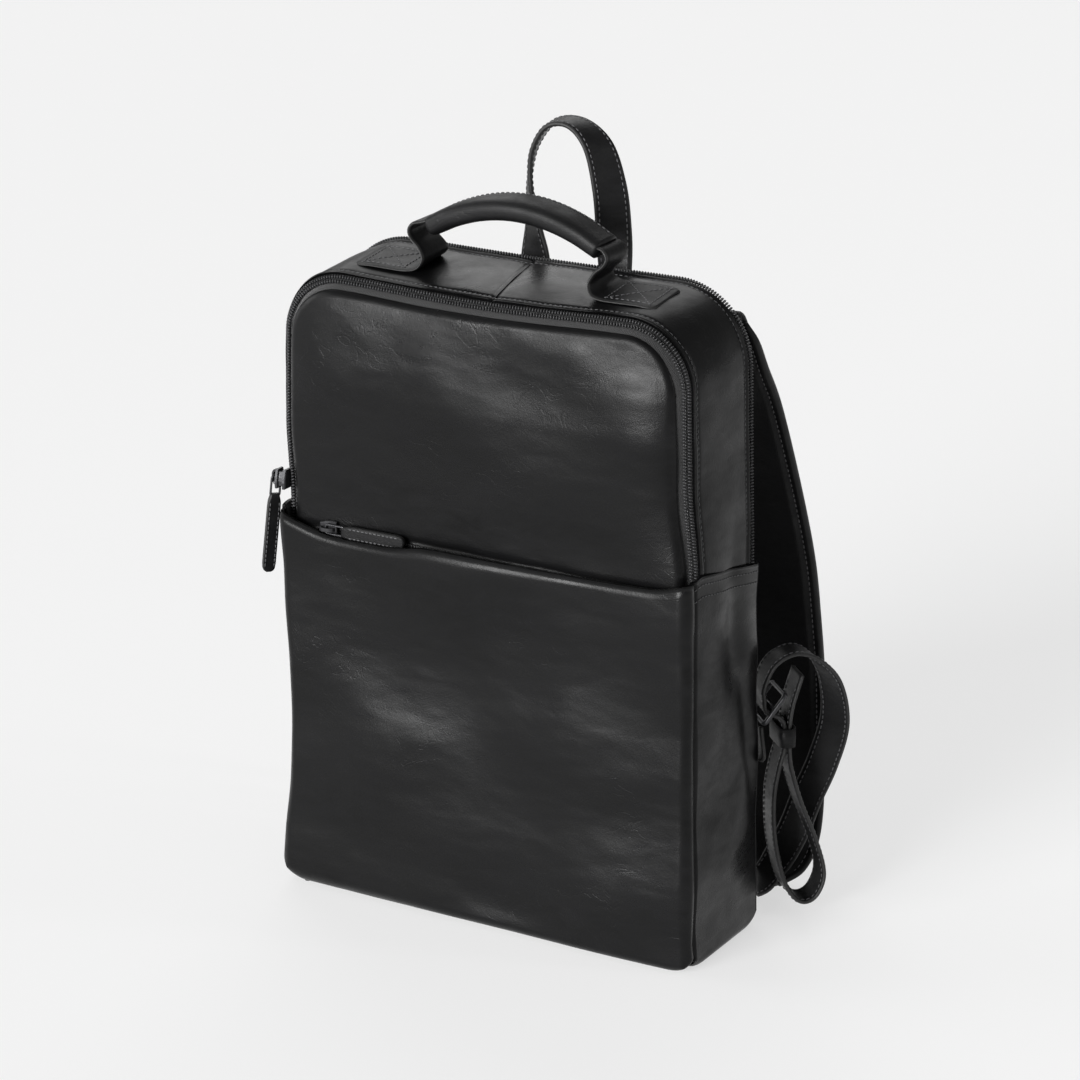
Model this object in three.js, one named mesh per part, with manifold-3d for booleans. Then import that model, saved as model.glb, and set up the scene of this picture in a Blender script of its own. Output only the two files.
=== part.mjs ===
// A slim leather backpack: a box-shaped shell with a chamfered zip round its front and its back,
// an open slip pocket, a carry handle, a hanging loop and two padded shoulder straps.
// Millimetres. +X is the wearer-side right seen from the front, +Y runs to the back, +Z is up.
// The origin is the middle of the shell's flat base.
import * as THREE from "three";
import Module from "manifold-3d";
import { mergeVertices } from "three/addons/utils/BufferGeometryUtils.js";

const wasm = await Module();
wasm.setup();

// ---------------------------------------------------------------- driving dimensions
const GAP = 0.3; // between pieces that touch
const HEIGHT = 400;
const HALF_WIDTH = 143; // at mid height
const TAPER = 0.03; // the base is this much wider than mid height, and the top this much narrower
const FRONT_Y = -40; // plane of the front panel
const BACK_Y = 40; // plane of the back panel
const CORNER_R = 48; // top corners
const FOOT_R = 12; // bottom corners
const LEATHER = 2.5;
const MOUTH_Z = 241; // slip pocket's mouth, and the side panels' top seam
const FLAP_Z = 245.5; // lower edge of both zipped flaps
const MOUTH_DIP = 6.5; // how far the slip pocket's mouth drops between the side seams
const POCKET_Y = -51; // front of the slip pocket
const CHAMFER = 12.3; // width of each zip, laid at 45 degrees across its edge
const GUSSET_Y = 31; // the gusset's front and back edges
const ARC_STEPS = 8;

const halfWidth = (z) => HALF_WIDTH * (1 + TAPER * (1 - (2 * z) / HEIGHT));

// ---------------------------------------------------------------- materials
const finish = (color, roughness, metalness = 0) =>
  new THREE.MeshStandardMaterial({ color, roughness, metalness });
const leather = finish(0x26262a, 0.42);
const darkLeather = finish(0x1c1c1f, 0.5);
const padding = finish(0x151516, 0.85);
const lining = finish(0x2b2c30, 0.9);
const zipTape = finish(0x1d1d1f, 0.8);
const zipCoil = finish(0x17171a, 0.45);
const metal = finish(0x2c2c2e, 0.35, 0.9);
const board = finish(0x3a3733, 0.85);

// ---------------------------------------------------------------- helpers
const part = new THREE.Group();

function add(name, geometry, material) {
  const mesh = new THREE.Mesh(geometry, material);
  mesh.name = name;
  part.add(mesh);
  return mesh;
}

// Turns the faces round where a mapping has mirrored the shape.
function facingOut(geometry) {
  const g = mergeVertices(geometry.deleteAttribute("normal").deleteAttribute("uv"), 1e-4);
  const p = g.attributes.position;
  const index = g.index.array;
  const [a, b, c] = [0, 1, 2].map(() => new THREE.Vector3());
  let volume = 0;
  for (let i = 0; i < index.length; i += 3) {
    a.fromBufferAttribute(p, index[i]);
    b.fromBufferAttribute(p, index[i + 1]);
    c.fromBufferAttribute(p, index[i + 2]);
    volume += a.dot(b.cross(c));
  }
  if (volume < 0) {
    for (let i = 0; i < index.length; i += 3) {
      [index[i + 1], index[i + 2]] = [index[i + 2], index[i + 1]];
    }
  }
  g.computeVertexNormals();
  return g;
}

// A box with `steps` slices along its length, each vertex moved by map(u, v, slice),
// where u and v are -1 or 1.
function bentBox(steps, map) {
  const g = new THREE.BoxGeometry(2, 2, 1, 1, 1, steps);
  const p = g.attributes.position;
  for (let i = 0; i < p.count; i += 1) {
    const slice = Math.round((p.getZ(i) + 0.5) * steps);
    p.setXYZ(i, ...map(Math.sign(p.getX(i)), Math.sign(p.getY(i)), slice));
  }
  return facingOut(g);
}

// A flat plate: an outline in the XZ plane, extruded from y0 to y1.
function plate(points, y0, y1, hole) {
  const shape = new THREE.Shape(points.map(([x, z]) => new THREE.Vector2(x, z)));
  if (hole) shape.holes.push(new THREE.Path(hole.map(([x, z]) => new THREE.Vector2(x, z))));
  const g = new THREE.ExtrudeGeometry(shape, { depth: y1 - y0, bevelEnabled: false });
  return facingOut(g.rotateX(Math.PI / 2).translate(0, y1, 0));
}

function block(x0, x1, y0, y1, z0, z1) {
  const g = new THREE.BoxGeometry(x1 - x0, y1 - y0, z1 - z0);
  return g.translate((x0 + x1) / 2, (y0 + y1) / 2, (z0 + z1) / 2);
}

function solid(geometry) {
  const g = mergeVertices(
    geometry.clone().deleteAttribute("normal").deleteAttribute("uv"), 1e-4);
  return new wasm.Manifold(new wasm.Mesh({
    numProp: 3,
    vertProperties: g.attributes.position.array,
    triVerts: new Uint32Array(g.index.array),
  }));
}

function fromSolid(s) {
  const m = s.getMesh();
  const g = new THREE.BufferGeometry();
  g.setAttribute("position", new THREE.BufferAttribute(new Float32Array(m.vertProperties), 3));
  g.setIndex(new THREE.BufferAttribute(new Uint32Array(m.triVerts), 1));
  g.computeVertexNormals();
  return g;
}

const joined = (...geometries) => fromSolid(geometries.map(solid).reduce((a, b) => a.add(b)));
const cut = (geometry, tool) => fromSolid(solid(geometry).subtract(solid(tool)));

// ---------------------------------------------------------------- the shell's rim
// The rim is the shell's outline seen from the front: up one side, round both top corners and
// down the other. `inset` is measured inwards from the shell's surface.
function cornerArc(side, inset) {
  const points = [];
  for (let i = 0; i <= ARC_STEPS; i += 1) {
    const angle = (Math.PI / 2) * (i / ARC_STEPS);
    const r = CORNER_R - inset;
    points.push([
      side * (halfWidth(HEIGHT - CORNER_R) - CORNER_R + r * Math.cos(angle)),
      HEIGHT - CORNER_R + r * Math.sin(angle),
    ]);
  }
  return points;
}

const rim = (inset, z) => [
  [-(halfWidth(z) - inset), z],
  ...cornerArc(-1, inset),
  ...cornerArc(1, inset).reverse(),
  [halfWidth(z) - inset, z],
];

const halfRim = (side, inset, z, seam) => [
  [side * (halfWidth(z) - inset), z],
  ...cornerArc(side, inset),
  [side * seam, HEIGHT - inset],
];

// A strip that follows a rim. corner(u, v) gives [inset, y] at each corner of its section.
function rimStrip(outline, corner) {
  const steps = outline(0).length - 1;
  return bentBox(steps, (u, v, slice) => {
    const [inset, y] = corner(u, v);
    const [x, z] = outline(inset)[slice];
    return [x, y, z];
  });
}

// Across a chamfered zip, s runs from the gusset to the panel and h stands off its surface.
// `way` is -1 on the front edge and 1 on the back edge.
const DIAGONAL = Math.SQRT1_2;
const EDGE_INSET = 0.8;
const zipSection = (way, s0, s1, h0, h1) => (u, v) => {
  const s = u < 0 ? s0 : s1;
  const h = v < 0 ? h0 : h1;
  return [
    EDGE_INSET + DIAGONAL * (s - h),
    way * (GUSSET_Y + 0.5 + DIAGONAL * (s + h)),
  ];
};

// ---------------------------------------------------------------- shell
function shell() {
  const seam = GAP / 2;
  for (const [side, name] of [[-1, "left"], [1, "right"]]) {
    // One half of the gusset: the upper side and half of the top, met at the centre seam.
    const outline = (inset) => halfRim(side, inset, MOUTH_Z + GAP, seam);
    const section = (u, v) => [u < 0 ? 0 : LEATHER, v * GUSSET_Y];
    add(`gusset_${name}`, rimStrip(outline, section), leather);

    // The lower side panel turns under at its foot.
    const foot = (inset) => {
      const points = [[side * (halfWidth(MOUTH_Z) - inset), MOUTH_Z]];
      for (let i = 0; i <= 4; i += 1) {
        const angle = (Math.PI / 2) * (i / 4);
        const r = FOOT_R - inset;
        points.push([
          side * (halfWidth(0) - FOOT_R + r * Math.cos(angle)),
          FOOT_R - r * Math.sin(angle),
        ]);
      }
      return points;
    };
    const sideSection = (u, v) => [u < 0 ? 0 : LEATHER, v * (BACK_Y - 2)];
    add(`side_panel_${name}`, rimStrip(foot, sideSection), leather);
  }
  const footX = halfWidth(0) - FOOT_R - GAP;
  add("base_panel", block(-footX, footX, FRONT_Y + 2, BACK_Y - 2, 0, LEATHER), leather);
  add("base_stiffener", block(-footX, footX, -34, 34, LEATHER + GAP, LEATHER + 2.5), board);
}

// The pocket is a channel in plan: a front face with rounded edges that turns back to the seams.
function frontPocket() {
  const round = 9;
  const wall = 1.8;
  const edge = (inset) => {
    const points = [];
    const x = HALF_WIDTH + 1.5 - inset;
    const r = round - inset;
    points.push([-x, FRONT_Y + 0.5]);
    for (let i = 0; i <= 4; i += 1) {
      const angle = Math.PI + (Math.PI / 2) * (i / 4);
      points.push([-(x - r) + r * Math.cos(angle), POCKET_Y + round + r * Math.sin(angle)]);
    }
    for (let i = 0; i <= 4; i += 1) {
      const angle = -Math.PI / 2 + (Math.PI / 2) * (i / 4);
      points.push([x - r + r * Math.cos(angle), POCKET_Y + round + r * Math.sin(angle)]);
    }
    points.push([x, FRONT_Y + 0.5]);
    return points;
  };
  const outer = edge(0);
  const inner = edge(wall);
  const lowZ = 5;
  const last = outer.length - 1;
  const walls = bentBox(last, (u, v, slice) => {
    const [x, y] = u < 0 ? outer[slice] : inner[slice];
    // The mouth dips between the side seams.
    const seamward = slice === 0 || slice === last;
    return [x, y, v < 0 ? lowZ : MOUTH_Z - (seamward ? GAP : MOUTH_DIP)];
  });
  const floorX = HALF_WIDTH - 2;
  const floor = block(-floorX, floorX, POCKET_Y + 3, FRONT_Y + 0.5, lowZ, lowZ + wall);
  add("front_pocket", joined(walls, floor), leather);

  // Behind the pocket's mouth: the shell's lower front, and the zipped pocket set in it.
  const x = HALF_WIDTH - 4;
  add("front_lower_panel", block(-x, x, -37, -35, 6, MOUTH_Z), leather);
  add("pocket_zip_tape", block(-118, 118, -38, -37.3, 231, 243), zipTape);
  add("pocket_zip_coil", block(-116, 116, -40.2, -38.3, 237, 242), zipCoil);
}

// ---------------------------------------------------------------- zipped flaps
function flapPanel(inset, y0, y1) {
  return plate(rim(inset, FLAP_Z), y0, y1);
}

function zips() {
  const fixed = (inset) => rim(inset, FLAP_Z);
  for (const [way, name] of [[-1, "front"], [1, "back"]]) {
    const strip = (s0, s1, h0, h1) => rimStrip(fixed, zipSection(way, s0, s1, h0, h1));
    add(`${name}_zip_tape_outer`, strip(0.9, 3, -1.2, -GAP), zipTape);
    add(`${name}_zip_coil_outer`, strip(0.5, 3.1, 0, 2), zipCoil);
    add(`${name}_zip_coil_inner`, strip(3.4, 6, 0, 2), zipCoil);
    add(`${name}_zip_tape_inner`, strip(3.4, CHAMFER - 0.3, -1.2, -GAP), zipTape);
  }
}

function panels() {
  const inset = EDGE_INSET + DIAGONAL * CHAMFER + 0.6;
  add("front_flap_panel", flapPanel(inset, -43, -40.3), leather);
  add("front_flap_lining", flapPanel(inset + 1, -39.9, -39.1), lining);
  add("back_panel_upper", flapPanel(inset, 40.3, 46), padding);
  add("back_liner_upper", flapPanel(inset + 1, 39.1, 39.9), lining);
  const x = HALF_WIDTH - 4;
  add("back_panel_lower", block(-x, x, 38.6, 46, 4, MOUTH_Z - GAP), padding);
  add("back_liner_lower", block(-x + 2, x - 2, 37.2, 38.3, 6, MOUTH_Z - GAP), lining);
}

// ---------------------------------------------------------------- inside
function inside() {
  const x = HALF_WIDTH - 6;
  const divider = rim(6, 8).map(([px, pz]) => [THREE.MathUtils.clamp(px, -x, x), pz]);
  add("compartment_divider", plate(divider, -21, -19.5), lining);
  add("laptop_sleeve", block(-132, 132, 22, 26, 6, 262), lining);
}

// ---------------------------------------------------------------- ribbons
// A strap that follows points [x, y, z, wx, wy, width, thickness]: a place, the direction of
// the width in plan, and the strap's two sizes there.
function ribbon(points, steps) {
  const path = new THREE.CatmullRomCurve3(
    points.map(([x, y, z]) => new THREE.Vector3(x, y, z)), false, "centripetal");
  const blendAt = (t) => {
    const place = t * (points.length - 1);
    const i = Math.min(Math.floor(place), points.length - 2);
    const f = place - i;
    return [3, 4, 5, 6].map((k) => points[i][k] * (1 - f) + points[i + 1][k] * f);
  };
  return bentBox(steps, (u, v, slice) => {
    const t = slice / steps;
    const [wx, wy, width, thickness] = blendAt(t);
    const along = path.getTangent(t);
    const across = new THREE.Vector3(wx, wy, 0);
    across.addScaledVector(along, -across.dot(along)).normalize();
    const out = new THREE.Vector3().crossVectors(along, across);
    const p = path.getPoint(t);
    p.addScaledVector(across, (u * width) / 2).addScaledVector(out, (v * thickness) / 2);
    return p.toArray();
  });
}

const mirrored = (points, side) =>
  points.map(([x, y, z, wx, wy, width, thick]) => [side * x, y, z, side * wx, wy, width, thick]);

// ---------------------------------------------------------------- carry handle
const TAB_WIDTH = 34;
function carryHandle() {
  for (const [side, name] of [[-1, "left"], [1, "right"]]) {
    // Sewn flat on the top, then turned up at its inner end.
    const patch = [
      [98, 0, 401.6, 0, 1, TAB_WIDTH, 2],
      [84, 0, 401.6, 0, 1, TAB_WIDTH, 2],
      [71, 0, 401.7, 0, 1, TAB_WIDTH, 2],
      [64.5, 0, 403.5, 0, 1, 32, 2],
      [62, 0, 408, 0, 1, 29, 2],
      [63.5, 0, 413.4, 0, 1, 28, 2],
    ];
    add(`handle_patch_${name}`, ribbon(mirrored(patch, side), 12), leather);
    const tab = [
      [66.6, 0, 419.8, 0, 1, 28, 2],
      [67.6, 0, 424.5, 0, 1, 28, 2],
      [64.8, 0, 428.2, 0, 1, 28, 2],
      [61.2, 0, 429.4, 0, 1, 28, 2],
    ];
    add(`handle_tab_${name}`, ribbon(mirrored(tab, side), 12), leather);
  }
  // The grip is a wrapped tube round a cord core, a flat arc that rises 14 mm at its middle.
  const arc = (width, thickness, reach) => [-1, -0.6, 0, 0.6, 1].map((t) =>
    [t * reach, 0, 443 - 14 * t * t * (reach / 58) ** 2, 0, 1, width, thickness]);
  const wrap = ribbon(arc(28, 13, 58), 14);
  add("handle_grip", cut(wrap, ribbon(arc(18, 6.6, 60), 14)), leather);
  add("handle_core", ribbon(arc(17, 5.8, 57), 14), padding);
}

// ---------------------------------------------------------------- hanging loop
function hangingLoop() {
  const turned = (degrees) =>
    [Math.cos((degrees * Math.PI) / 180), Math.sin((degrees * Math.PI) / 180)];
  const loop = [
    [-15, 48.5, 401, ...turned(172)],
    [-14, 48.5, 422, ...turned(140)],
    [-15, 48.5, 446, ...turned(118)],
    [-9, 48.5, 468, ...turned(108)],
    [4, 48.5, 482, ...turned(98)],
    [18, 48.5, 484, ...turned(84)],
    [30, 48.5, 472, ...turned(62)],
    [36, 48.5, 450, ...turned(46)],
    [39, 48.5, 424, ...turned(28)],
    [40, 48.5, 401, ...turned(8)],
  ].map((row) => [...row, 22, 2.6]);
  add("hang_loop", ribbon(loop, 34), leather);
  add("hang_loop_patch", block(-30, 55, 46.3, 49.2, 374, 400), leather);
}

// ---------------------------------------------------------------- zip sliders and pulls
// Built facing -Y with the chain along Z. The link's top wire lies on the origin.
function slider() {
  const body = block(-4.6, 4.6, 1.3, 4.5, -6, 6);
  const bridge = cut(block(-1.3, 1.3, -2.4, 1.4, -5, 5), block(-2, 2, -1.2, 1.2, -3.4, 3.4));
  return joined(body, bridge);
}

function pullLink() {
  const ring = plate(
    [[-4.2, 0.8], [4.2, 0.8], [4.2, -13], [-4.2, -13]], -0.8, 0.8,
    [[-2.6, -0.8], [-2.6, -11.4], [2.6, -11.4], [2.6, -0.8]]);
  return ring;
}

function pullTab(length) {
  const w = 4.2;
  const round = 2.8;
  const outline = [[-3, -13.4], [3, -13.4], [w, -17], [w, -13.4 - length + round]];
  for (let i = 1; i <= 4; i += 1) {
    const angle = (Math.PI / 2) * (i / 4);
    outline.push([
      w - round + round * Math.cos(angle),
      round - 13.4 - length - round * Math.sin(angle),
    ]);
  }
  const half = outline.filter(([x]) => x > 0);
  const rest = half.map(([x, z]) => [-x, z]).reverse();
  return plate([...half, ...rest], -1.7, 1.7);
}

// `turn` is the way the slider faces, in degrees about Z, and `hang` tilts its pull outwards.
function zipPull(name, place, turn, length, lay = 0) {
  const put = (geometry) => {
    const g = geometry.clone();
    return g.rotateY(THREE.MathUtils.degToRad(lay))
      .rotateZ(THREE.MathUtils.degToRad(turn)).translate(...place);
  };
  add(`${name}_slider`, put(slider()), metal);
  add(`${name}_pull_link`, put(pullLink()), metal);
  add(`${name}_pull_tab`, put(pullTab(length)), darkLeather);
}

// ---------------------------------------------------------------- shoulder straps
// Places along the padded strap, top to tip: x, y, z, width, thickness.
const STRAP_UPPER = [
  [98, 57, 376, 58, 8],
  [101, 72, 348, 60, 10],
  [104.5, 86, 318, 60, 10],
  [109, 103, 268, 60, 10],
  [114.5, 114.5, 217, 60, 10],
];
const STRAP_LOWER = [
  [115, 115, 214, 60, 10],
  [118, 119, 175, 60, 10],
  [120, 122.5, 134, 60, 10],
  [121.5, 122.5, 80, 60, 10],
  [122, 118, 36, 59, 9],
  [122, 104, 15.5, 40, 6],
  [121, 84, 10, 22, 4.4],
];

// The tied strap lies in an upright plane that leaves the bag's corner at 45 degrees:
// u runs along it, and z is height. Its strips are flat across the plane.
const TIE = [151.5, 61.5];
const TIE_WIDTH = 20;
const TIE_THICK = 2.2;
const tied = (u, z, w = 0, turn = 0) => {
  const angle = -Math.PI / 4 + THREE.MathUtils.degToRad(turn);
  return [
    TIE[0] + DIAGONAL * (u + w), TIE[1] + DIAGONAL * (u - w), z,
    Math.cos(angle), Math.sin(angle), TIE_WIDTH, TIE_THICK,
  ];
};

function buckle() {
  const frame = cut(block(-14, 14, -1.2, 1.2, -12, 12), block(-11.2, 11.2, -2, 2, -9.4, 9.4));
  return joined(frame, block(-12, 12, -1.1, 1.1, -1.4, 1.4));
}

function shoulderStraps() {
  for (const [side, name] of [[-1, "left"], [1, "right"]]) {
    const row = ([x, y, z, width, thick]) => [side * x, y, z, side, 0, width, thick];
    const mid = side * 97;
    add(`strap_yoke_${name}`, block(mid - 30, mid + 30, 46.3, 49.8, 368, 388), leather);
    add(`strap_pad_upper_${name}`, ribbon(STRAP_UPPER.map(row), 12), padding);
    add(`strap_pad_lower_${name}`, ribbon(STRAP_LOWER.map(row), 18), padding);

    // From the pad's tip, up and round to the buckle.
    const riser = [
      [128, 76.5, 11, 0.7, -0.7, TIE_WIDTH, TIE_THICK],
      tied(-3, 17, -20, 34),
      tied(6, 29, -20, 52),
      tied(15, 48, -18, 64),
      tied(23, 70, -17, 66),
      tied(31, 92, -14, 60),
      tied(36, 122, -7, 46),
      tied(31, 150, -2, 30),
      tied(20, 167, 0, 12),
      tied(6, 174, 0, 0),
      tied(-8, 168, 0, 0),
      tied(-15, 154, 0, 0),
      tied(-14.7, 145.5, 0, 0),
    ];
    add(`strap_riser_${name}`, ribbon(mirrored(riser, side), 44), leather);

    // From the buckle down through the keeper, round the lower loop and back up to the free end.
    const tail = [
      tied(-7.9, 137.8), tied(-3.4, 134), tied(-1.7, 129), tied(-1.7, 121), tied(-1.7, 112),
      tied(-4.5, 101), tied(-7.4, 82), tied(-6.5, 55), tied(-1, 29), tied(6, 14.5), tied(14, 9.5),
      tied(22, 14), tied(26, 28), tied(20, 51), tied(9.5, 78), tied(3.2, 100), tied(1.7, 112),
      tied(1.7, 121), tied(1.7, 130), tied(3.6, 142), tied(9, 160),
    ];
    add(`strap_tail_${name}`, ribbon(mirrored(tail, side), 60), leather);

    const turned = (geometry, u, z, lean) => {
      const g = geometry.rotateY(lean).rotateZ(-Math.PI / 4);
      const [x, y] = tied(u, z);
      g.translate(x, y, z);
      if (side < 0) g.scale(-1, 1, 1);
      return facingOut(g);
    };
    // The buckle's plane holds the strips' width, and leans across the strap's run.
    const frame = buckle().rotateZ(Math.PI / 2);
    frame.rotateZ(-Math.PI / 2);
    frame.rotateX(-THREE.MathUtils.degToRad(37));
    add(`strap_buckle_${name}`, turned(frame, -9.5, 141, 0), metal);
    const keeper = cut(block(-13, 13, -5, 5, -6, 6), block(-11.2, 11.2, -3.2, 3.2, -7, 7));
    add(`strap_keeper_${name}`, turned(keeper, 0, 121, 0), leather);

    const anchor = [
      [143.8, 45.6, 106, 0.7, -0.7, 26, 2.2],
      [142.4, 46.6, 116, 0.7, -0.7, 22, 2.2],
      [139.6, 49.2, 127, 0.7, -0.7, 20, 2.2],
    ];
    add(`strap_anchor_${name}`, ribbon(mirrored(anchor, side), 6), leather);
  }
}

// ---------------------------------------------------------------- assembly
shell();
frontPocket();
zips();
panels();
inside();
carryHandle();
hangingLoop();
zipPull("front", [-149.5, -36.5, 264], -90, 50);
zipPull("back", [-149.5, 36.5, 252], -90, 50);
zipPull("pocket", [-108, -45, 239.5], 0, 42, -90);
shoulderStraps();

export default part;
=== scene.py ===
"""A slim black leather backpack: sewn shell, zips, handle, hanging loop, padded straps.

Lengths in the tables are millimetres; meshes are made in metres.
+X is right seen from the front, +Y runs to the back, +Z is up, and the base is at Z 0.
"""
import math

import bpy
import numpy as np
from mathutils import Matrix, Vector, noise


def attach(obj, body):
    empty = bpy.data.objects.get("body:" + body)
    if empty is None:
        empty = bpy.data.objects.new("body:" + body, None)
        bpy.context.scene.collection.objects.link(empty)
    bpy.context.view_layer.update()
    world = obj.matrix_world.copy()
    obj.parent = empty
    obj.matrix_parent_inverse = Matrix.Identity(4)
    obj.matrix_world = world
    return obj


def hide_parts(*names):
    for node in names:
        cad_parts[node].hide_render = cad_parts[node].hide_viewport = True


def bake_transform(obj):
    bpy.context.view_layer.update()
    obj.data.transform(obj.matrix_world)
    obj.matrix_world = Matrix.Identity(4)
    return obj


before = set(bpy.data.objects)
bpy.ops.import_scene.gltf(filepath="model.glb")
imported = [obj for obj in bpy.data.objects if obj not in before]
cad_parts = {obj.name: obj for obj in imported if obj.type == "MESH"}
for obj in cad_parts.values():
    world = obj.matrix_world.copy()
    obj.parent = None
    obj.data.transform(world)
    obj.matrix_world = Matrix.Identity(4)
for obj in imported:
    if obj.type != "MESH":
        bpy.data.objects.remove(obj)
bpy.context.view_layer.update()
MM = 0.001
SIDES = (("left", -1), ("right", 1))


# ---------------------------------------------------------------- camera, floor, lights
def set_camera():
    turn, rise = math.radians(29.7), math.radians(18.9)
    aim = Vector((0.016, 0, 0.240))
    level = math.cos(rise)
    back = Vector((math.sin(turn) * level, -math.cos(turn) * level, math.sin(rise)))
    data = bpy.data.cameras.new("camera")
    data.lens = 133.3
    data.sensor_width = 36
    data.clip_end = 50
    camera = bpy.data.objects.new("camera", data)
    camera.location = aim + back * 2.416
    camera.rotation_euler = (-back).to_track_quat("-Z", "Y").to_euler()
    bpy.context.collection.objects.link(camera)
    bpy.context.scene.camera = camera


def set_lamp(name, place, aim, size, power):
    data = bpy.data.lights.new(name, "AREA")
    data.shape = "RECTANGLE"
    data.size, data.size_y = size
    data.energy = power
    lamp = bpy.data.objects.new(name, data)
    lamp.location = place
    lamp.rotation_euler = (Vector(aim) - Vector(place)).to_track_quat("-Z", "Y").to_euler()
    bpy.context.collection.objects.link(lamp)


def set_sun(name, toward, spread_degrees, power):
    data = bpy.data.lights.new(name, "SUN")
    data.energy = power
    data.angle = math.radians(spread_degrees)
    lamp = bpy.data.objects.new(name, data)
    lamp.rotation_euler = Vector(toward).to_track_quat("Z", "Y").to_euler()
    bpy.context.collection.objects.link(lamp)


def set_studio():
    bpy.context.scene.view_settings.view_transform = "Standard"
    set_sun("front_softbox", (-0.20, -0.95, 0.21), 34, 6.2)
    set_sun("left_softbox", (-0.93, -0.25, 0.28), 40, 1.0)
    set_sun("top_softbox", (-0.45, 0.75, 0.72), 48, 1.0)
    set_lamp("right_strip", (1.9, 0.5, 1.0), (0.14, 0, 0.2), (0.2, 1.0), 5)
    world = bpy.data.worlds.new("studio")
    bpy.context.scene.world = world
    world.use_nodes = True
    world.node_tree.nodes["Background"].inputs["Color"].default_value = (1, 1, 1, 1)
    world.node_tree.nodes["Background"].inputs["Strength"].default_value = 0.24


# ---------------------------------------------------------------- finishes
class Finish:
    """A material and the short words that build its nodes."""

    def __init__(self, name, base=(0.03, 0.03, 0.032), roughness=0.5, **sockets):
        self.material = bpy.data.materials.new(name)
        self.material.use_nodes = True
        self.tree = self.material.node_tree
        self.shader = self.tree.nodes["Principled BSDF"]
        self.shader.inputs["Base Color"].default_value = (*base, 1)
        self.shader.inputs["Roughness"].default_value = roughness
        for socket, value in sockets.items():
            self.shader.inputs[socket.replace("_", " ")].default_value = value
        self.height = None

    def node(self, kind, inputs=None, **settings):
        made = self.tree.nodes.new("ShaderNode" + kind)
        for setting, value in settings.items():
            setattr(made, setting, value)
        for socket, value in (inputs or {}).items():
            if isinstance(value, bpy.types.NodeSocket):
                self.tree.links.new(value, made.inputs[socket])
            else:
                made.inputs[socket].default_value = value
        return made

    def place(self, scale=(1, 1, 1), along_piece=False):
        source = self.node("TexCoord").outputs["UV" if along_piece else "Object"]
        return self.node("Mapping", {"Vector": source, "Scale": scale}).outputs["Vector"]

    def math(self, operation, a, b=0.0, c=0.0):
        return self.node("Math", {0: a, 1: b, 2: c}, operation=operation).outputs[0]

    def clouds(self, where, scale, detail=3.0, rough=0.55, twist=0.0):
        return self.node("TexNoise", {"Vector": where, "Scale": scale, "Detail": detail,
                                      "Roughness": rough, "Distortion": twist}).outputs["Fac"]

    def span(self, value, low, high, to_low=0.0, to_high=1.0):
        return self.node("MapRange", {"Value": value, "From Min": low, "From Max": high,
                                      "To Min": to_low, "To Max": to_high}).outputs["Result"]

    def blend(self, amount, a, b):
        mix = self.node("Mix", data_type="RGBA")
        for socket, value in (("A", a), ("B", b)):
            into = [s for s in mix.inputs if s.name == socket and s.type == "RGBA"][0]
            if isinstance(value, tuple):
                into.default_value = (*value, 1)
            else:
                self.tree.links.new(value, into)
        self.tree.links.new(amount, mix.inputs[0])
        return [s for s in mix.outputs if s.type == "RGBA"][0]

    def colour(self, value):
        self.tree.links.new(value, self.shader.inputs["Base Color"])

    def roughness(self, value):
        self.tree.links.new(value, self.shader.inputs["Roughness"])

    def bump(self, height, depth_mm, strength=1.0):
        inputs = {"Height": height, "Distance": depth_mm * MM, "Strength": strength}
        if self.height is not None:
            inputs["Normal"] = self.height
        self.height = self.node("Bump", inputs).outputs["Normal"]
        self.tree.links.new(self.height, self.shader.inputs["Normal"])


def make_leather(name, deep, worn, rough, grain=1.0, crease=1.0, dents=1.0):
    """Smooth full-grain hide: cloudy dye, fine pores, faint creases and slow dents."""
    f = Finish(name, deep, rough, Specular_IOR_Level=0.165)
    where = f.place()
    swirl = f.node("TexNoise", {"Vector": where, "Scale": 30.0, "Detail": 3.0}).outputs["Color"]
    bent = f.node("MixRGB", {"Fac": 0.005, "Color1": where, "Color2": swirl}).outputs["Color"]
    streaks = f.node("Mapping", {"Vector": bent, "Rotation": (0.0, 0.45, 0.0),
                                 "Scale": (1.0, 1.0, 2.3)}).outputs["Vector"]
    broad = f.clouds(streaks, 9.0, 4.0, 0.6, 0.8)
    small = f.clouds(streaks, 42.0, 6.0, 0.68, 0.5)
    cloudy = f.math("MULTIPLY_ADD", small, 0.5, f.math("MULTIPLY", broad, 0.5))
    f.colour(f.blend(f.span(cloudy, 0.4, 0.63), deep, worn))
    f.roughness(f.span(cloudy, 0.38, 0.64, rough + 0.12, rough - 0.1))
    f.bump(f.clouds(streaks, 9.0, 0.0, 0.5, 0.0), 7.0 * dents, 0.9)
    f.bump(f.clouds(streaks, 30.0, 1.0, 0.4, 0.2), 0.9 * dents, 0.8)
    threads = f.math("ABSOLUTE", f.math("SUBTRACT", f.clouds(bent, 60.0, 3.0, 0.5, 0.9), 0.5))
    patchy = f.span(f.clouds(where, 17.0, 1.0), 0.53, 0.64)
    lines = f.math("SUBTRACT", f.span(threads, 0.0, 0.022), 1.0)
    f.bump(f.math("MULTIPLY_ADD", lines, patchy, 1.0), 0.16 * crease, 0.6)
    pores = f.node("TexVoronoi", {"Vector": where, "Scale": 1250.0}).outputs["Distance"]
    f.bump(pores, 0.06 * grain, 0.6)
    f.bump(f.clouds(where, 480.0, 3.0, 0.6), 0.12 * grain, 0.6)
    return f.material


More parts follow.
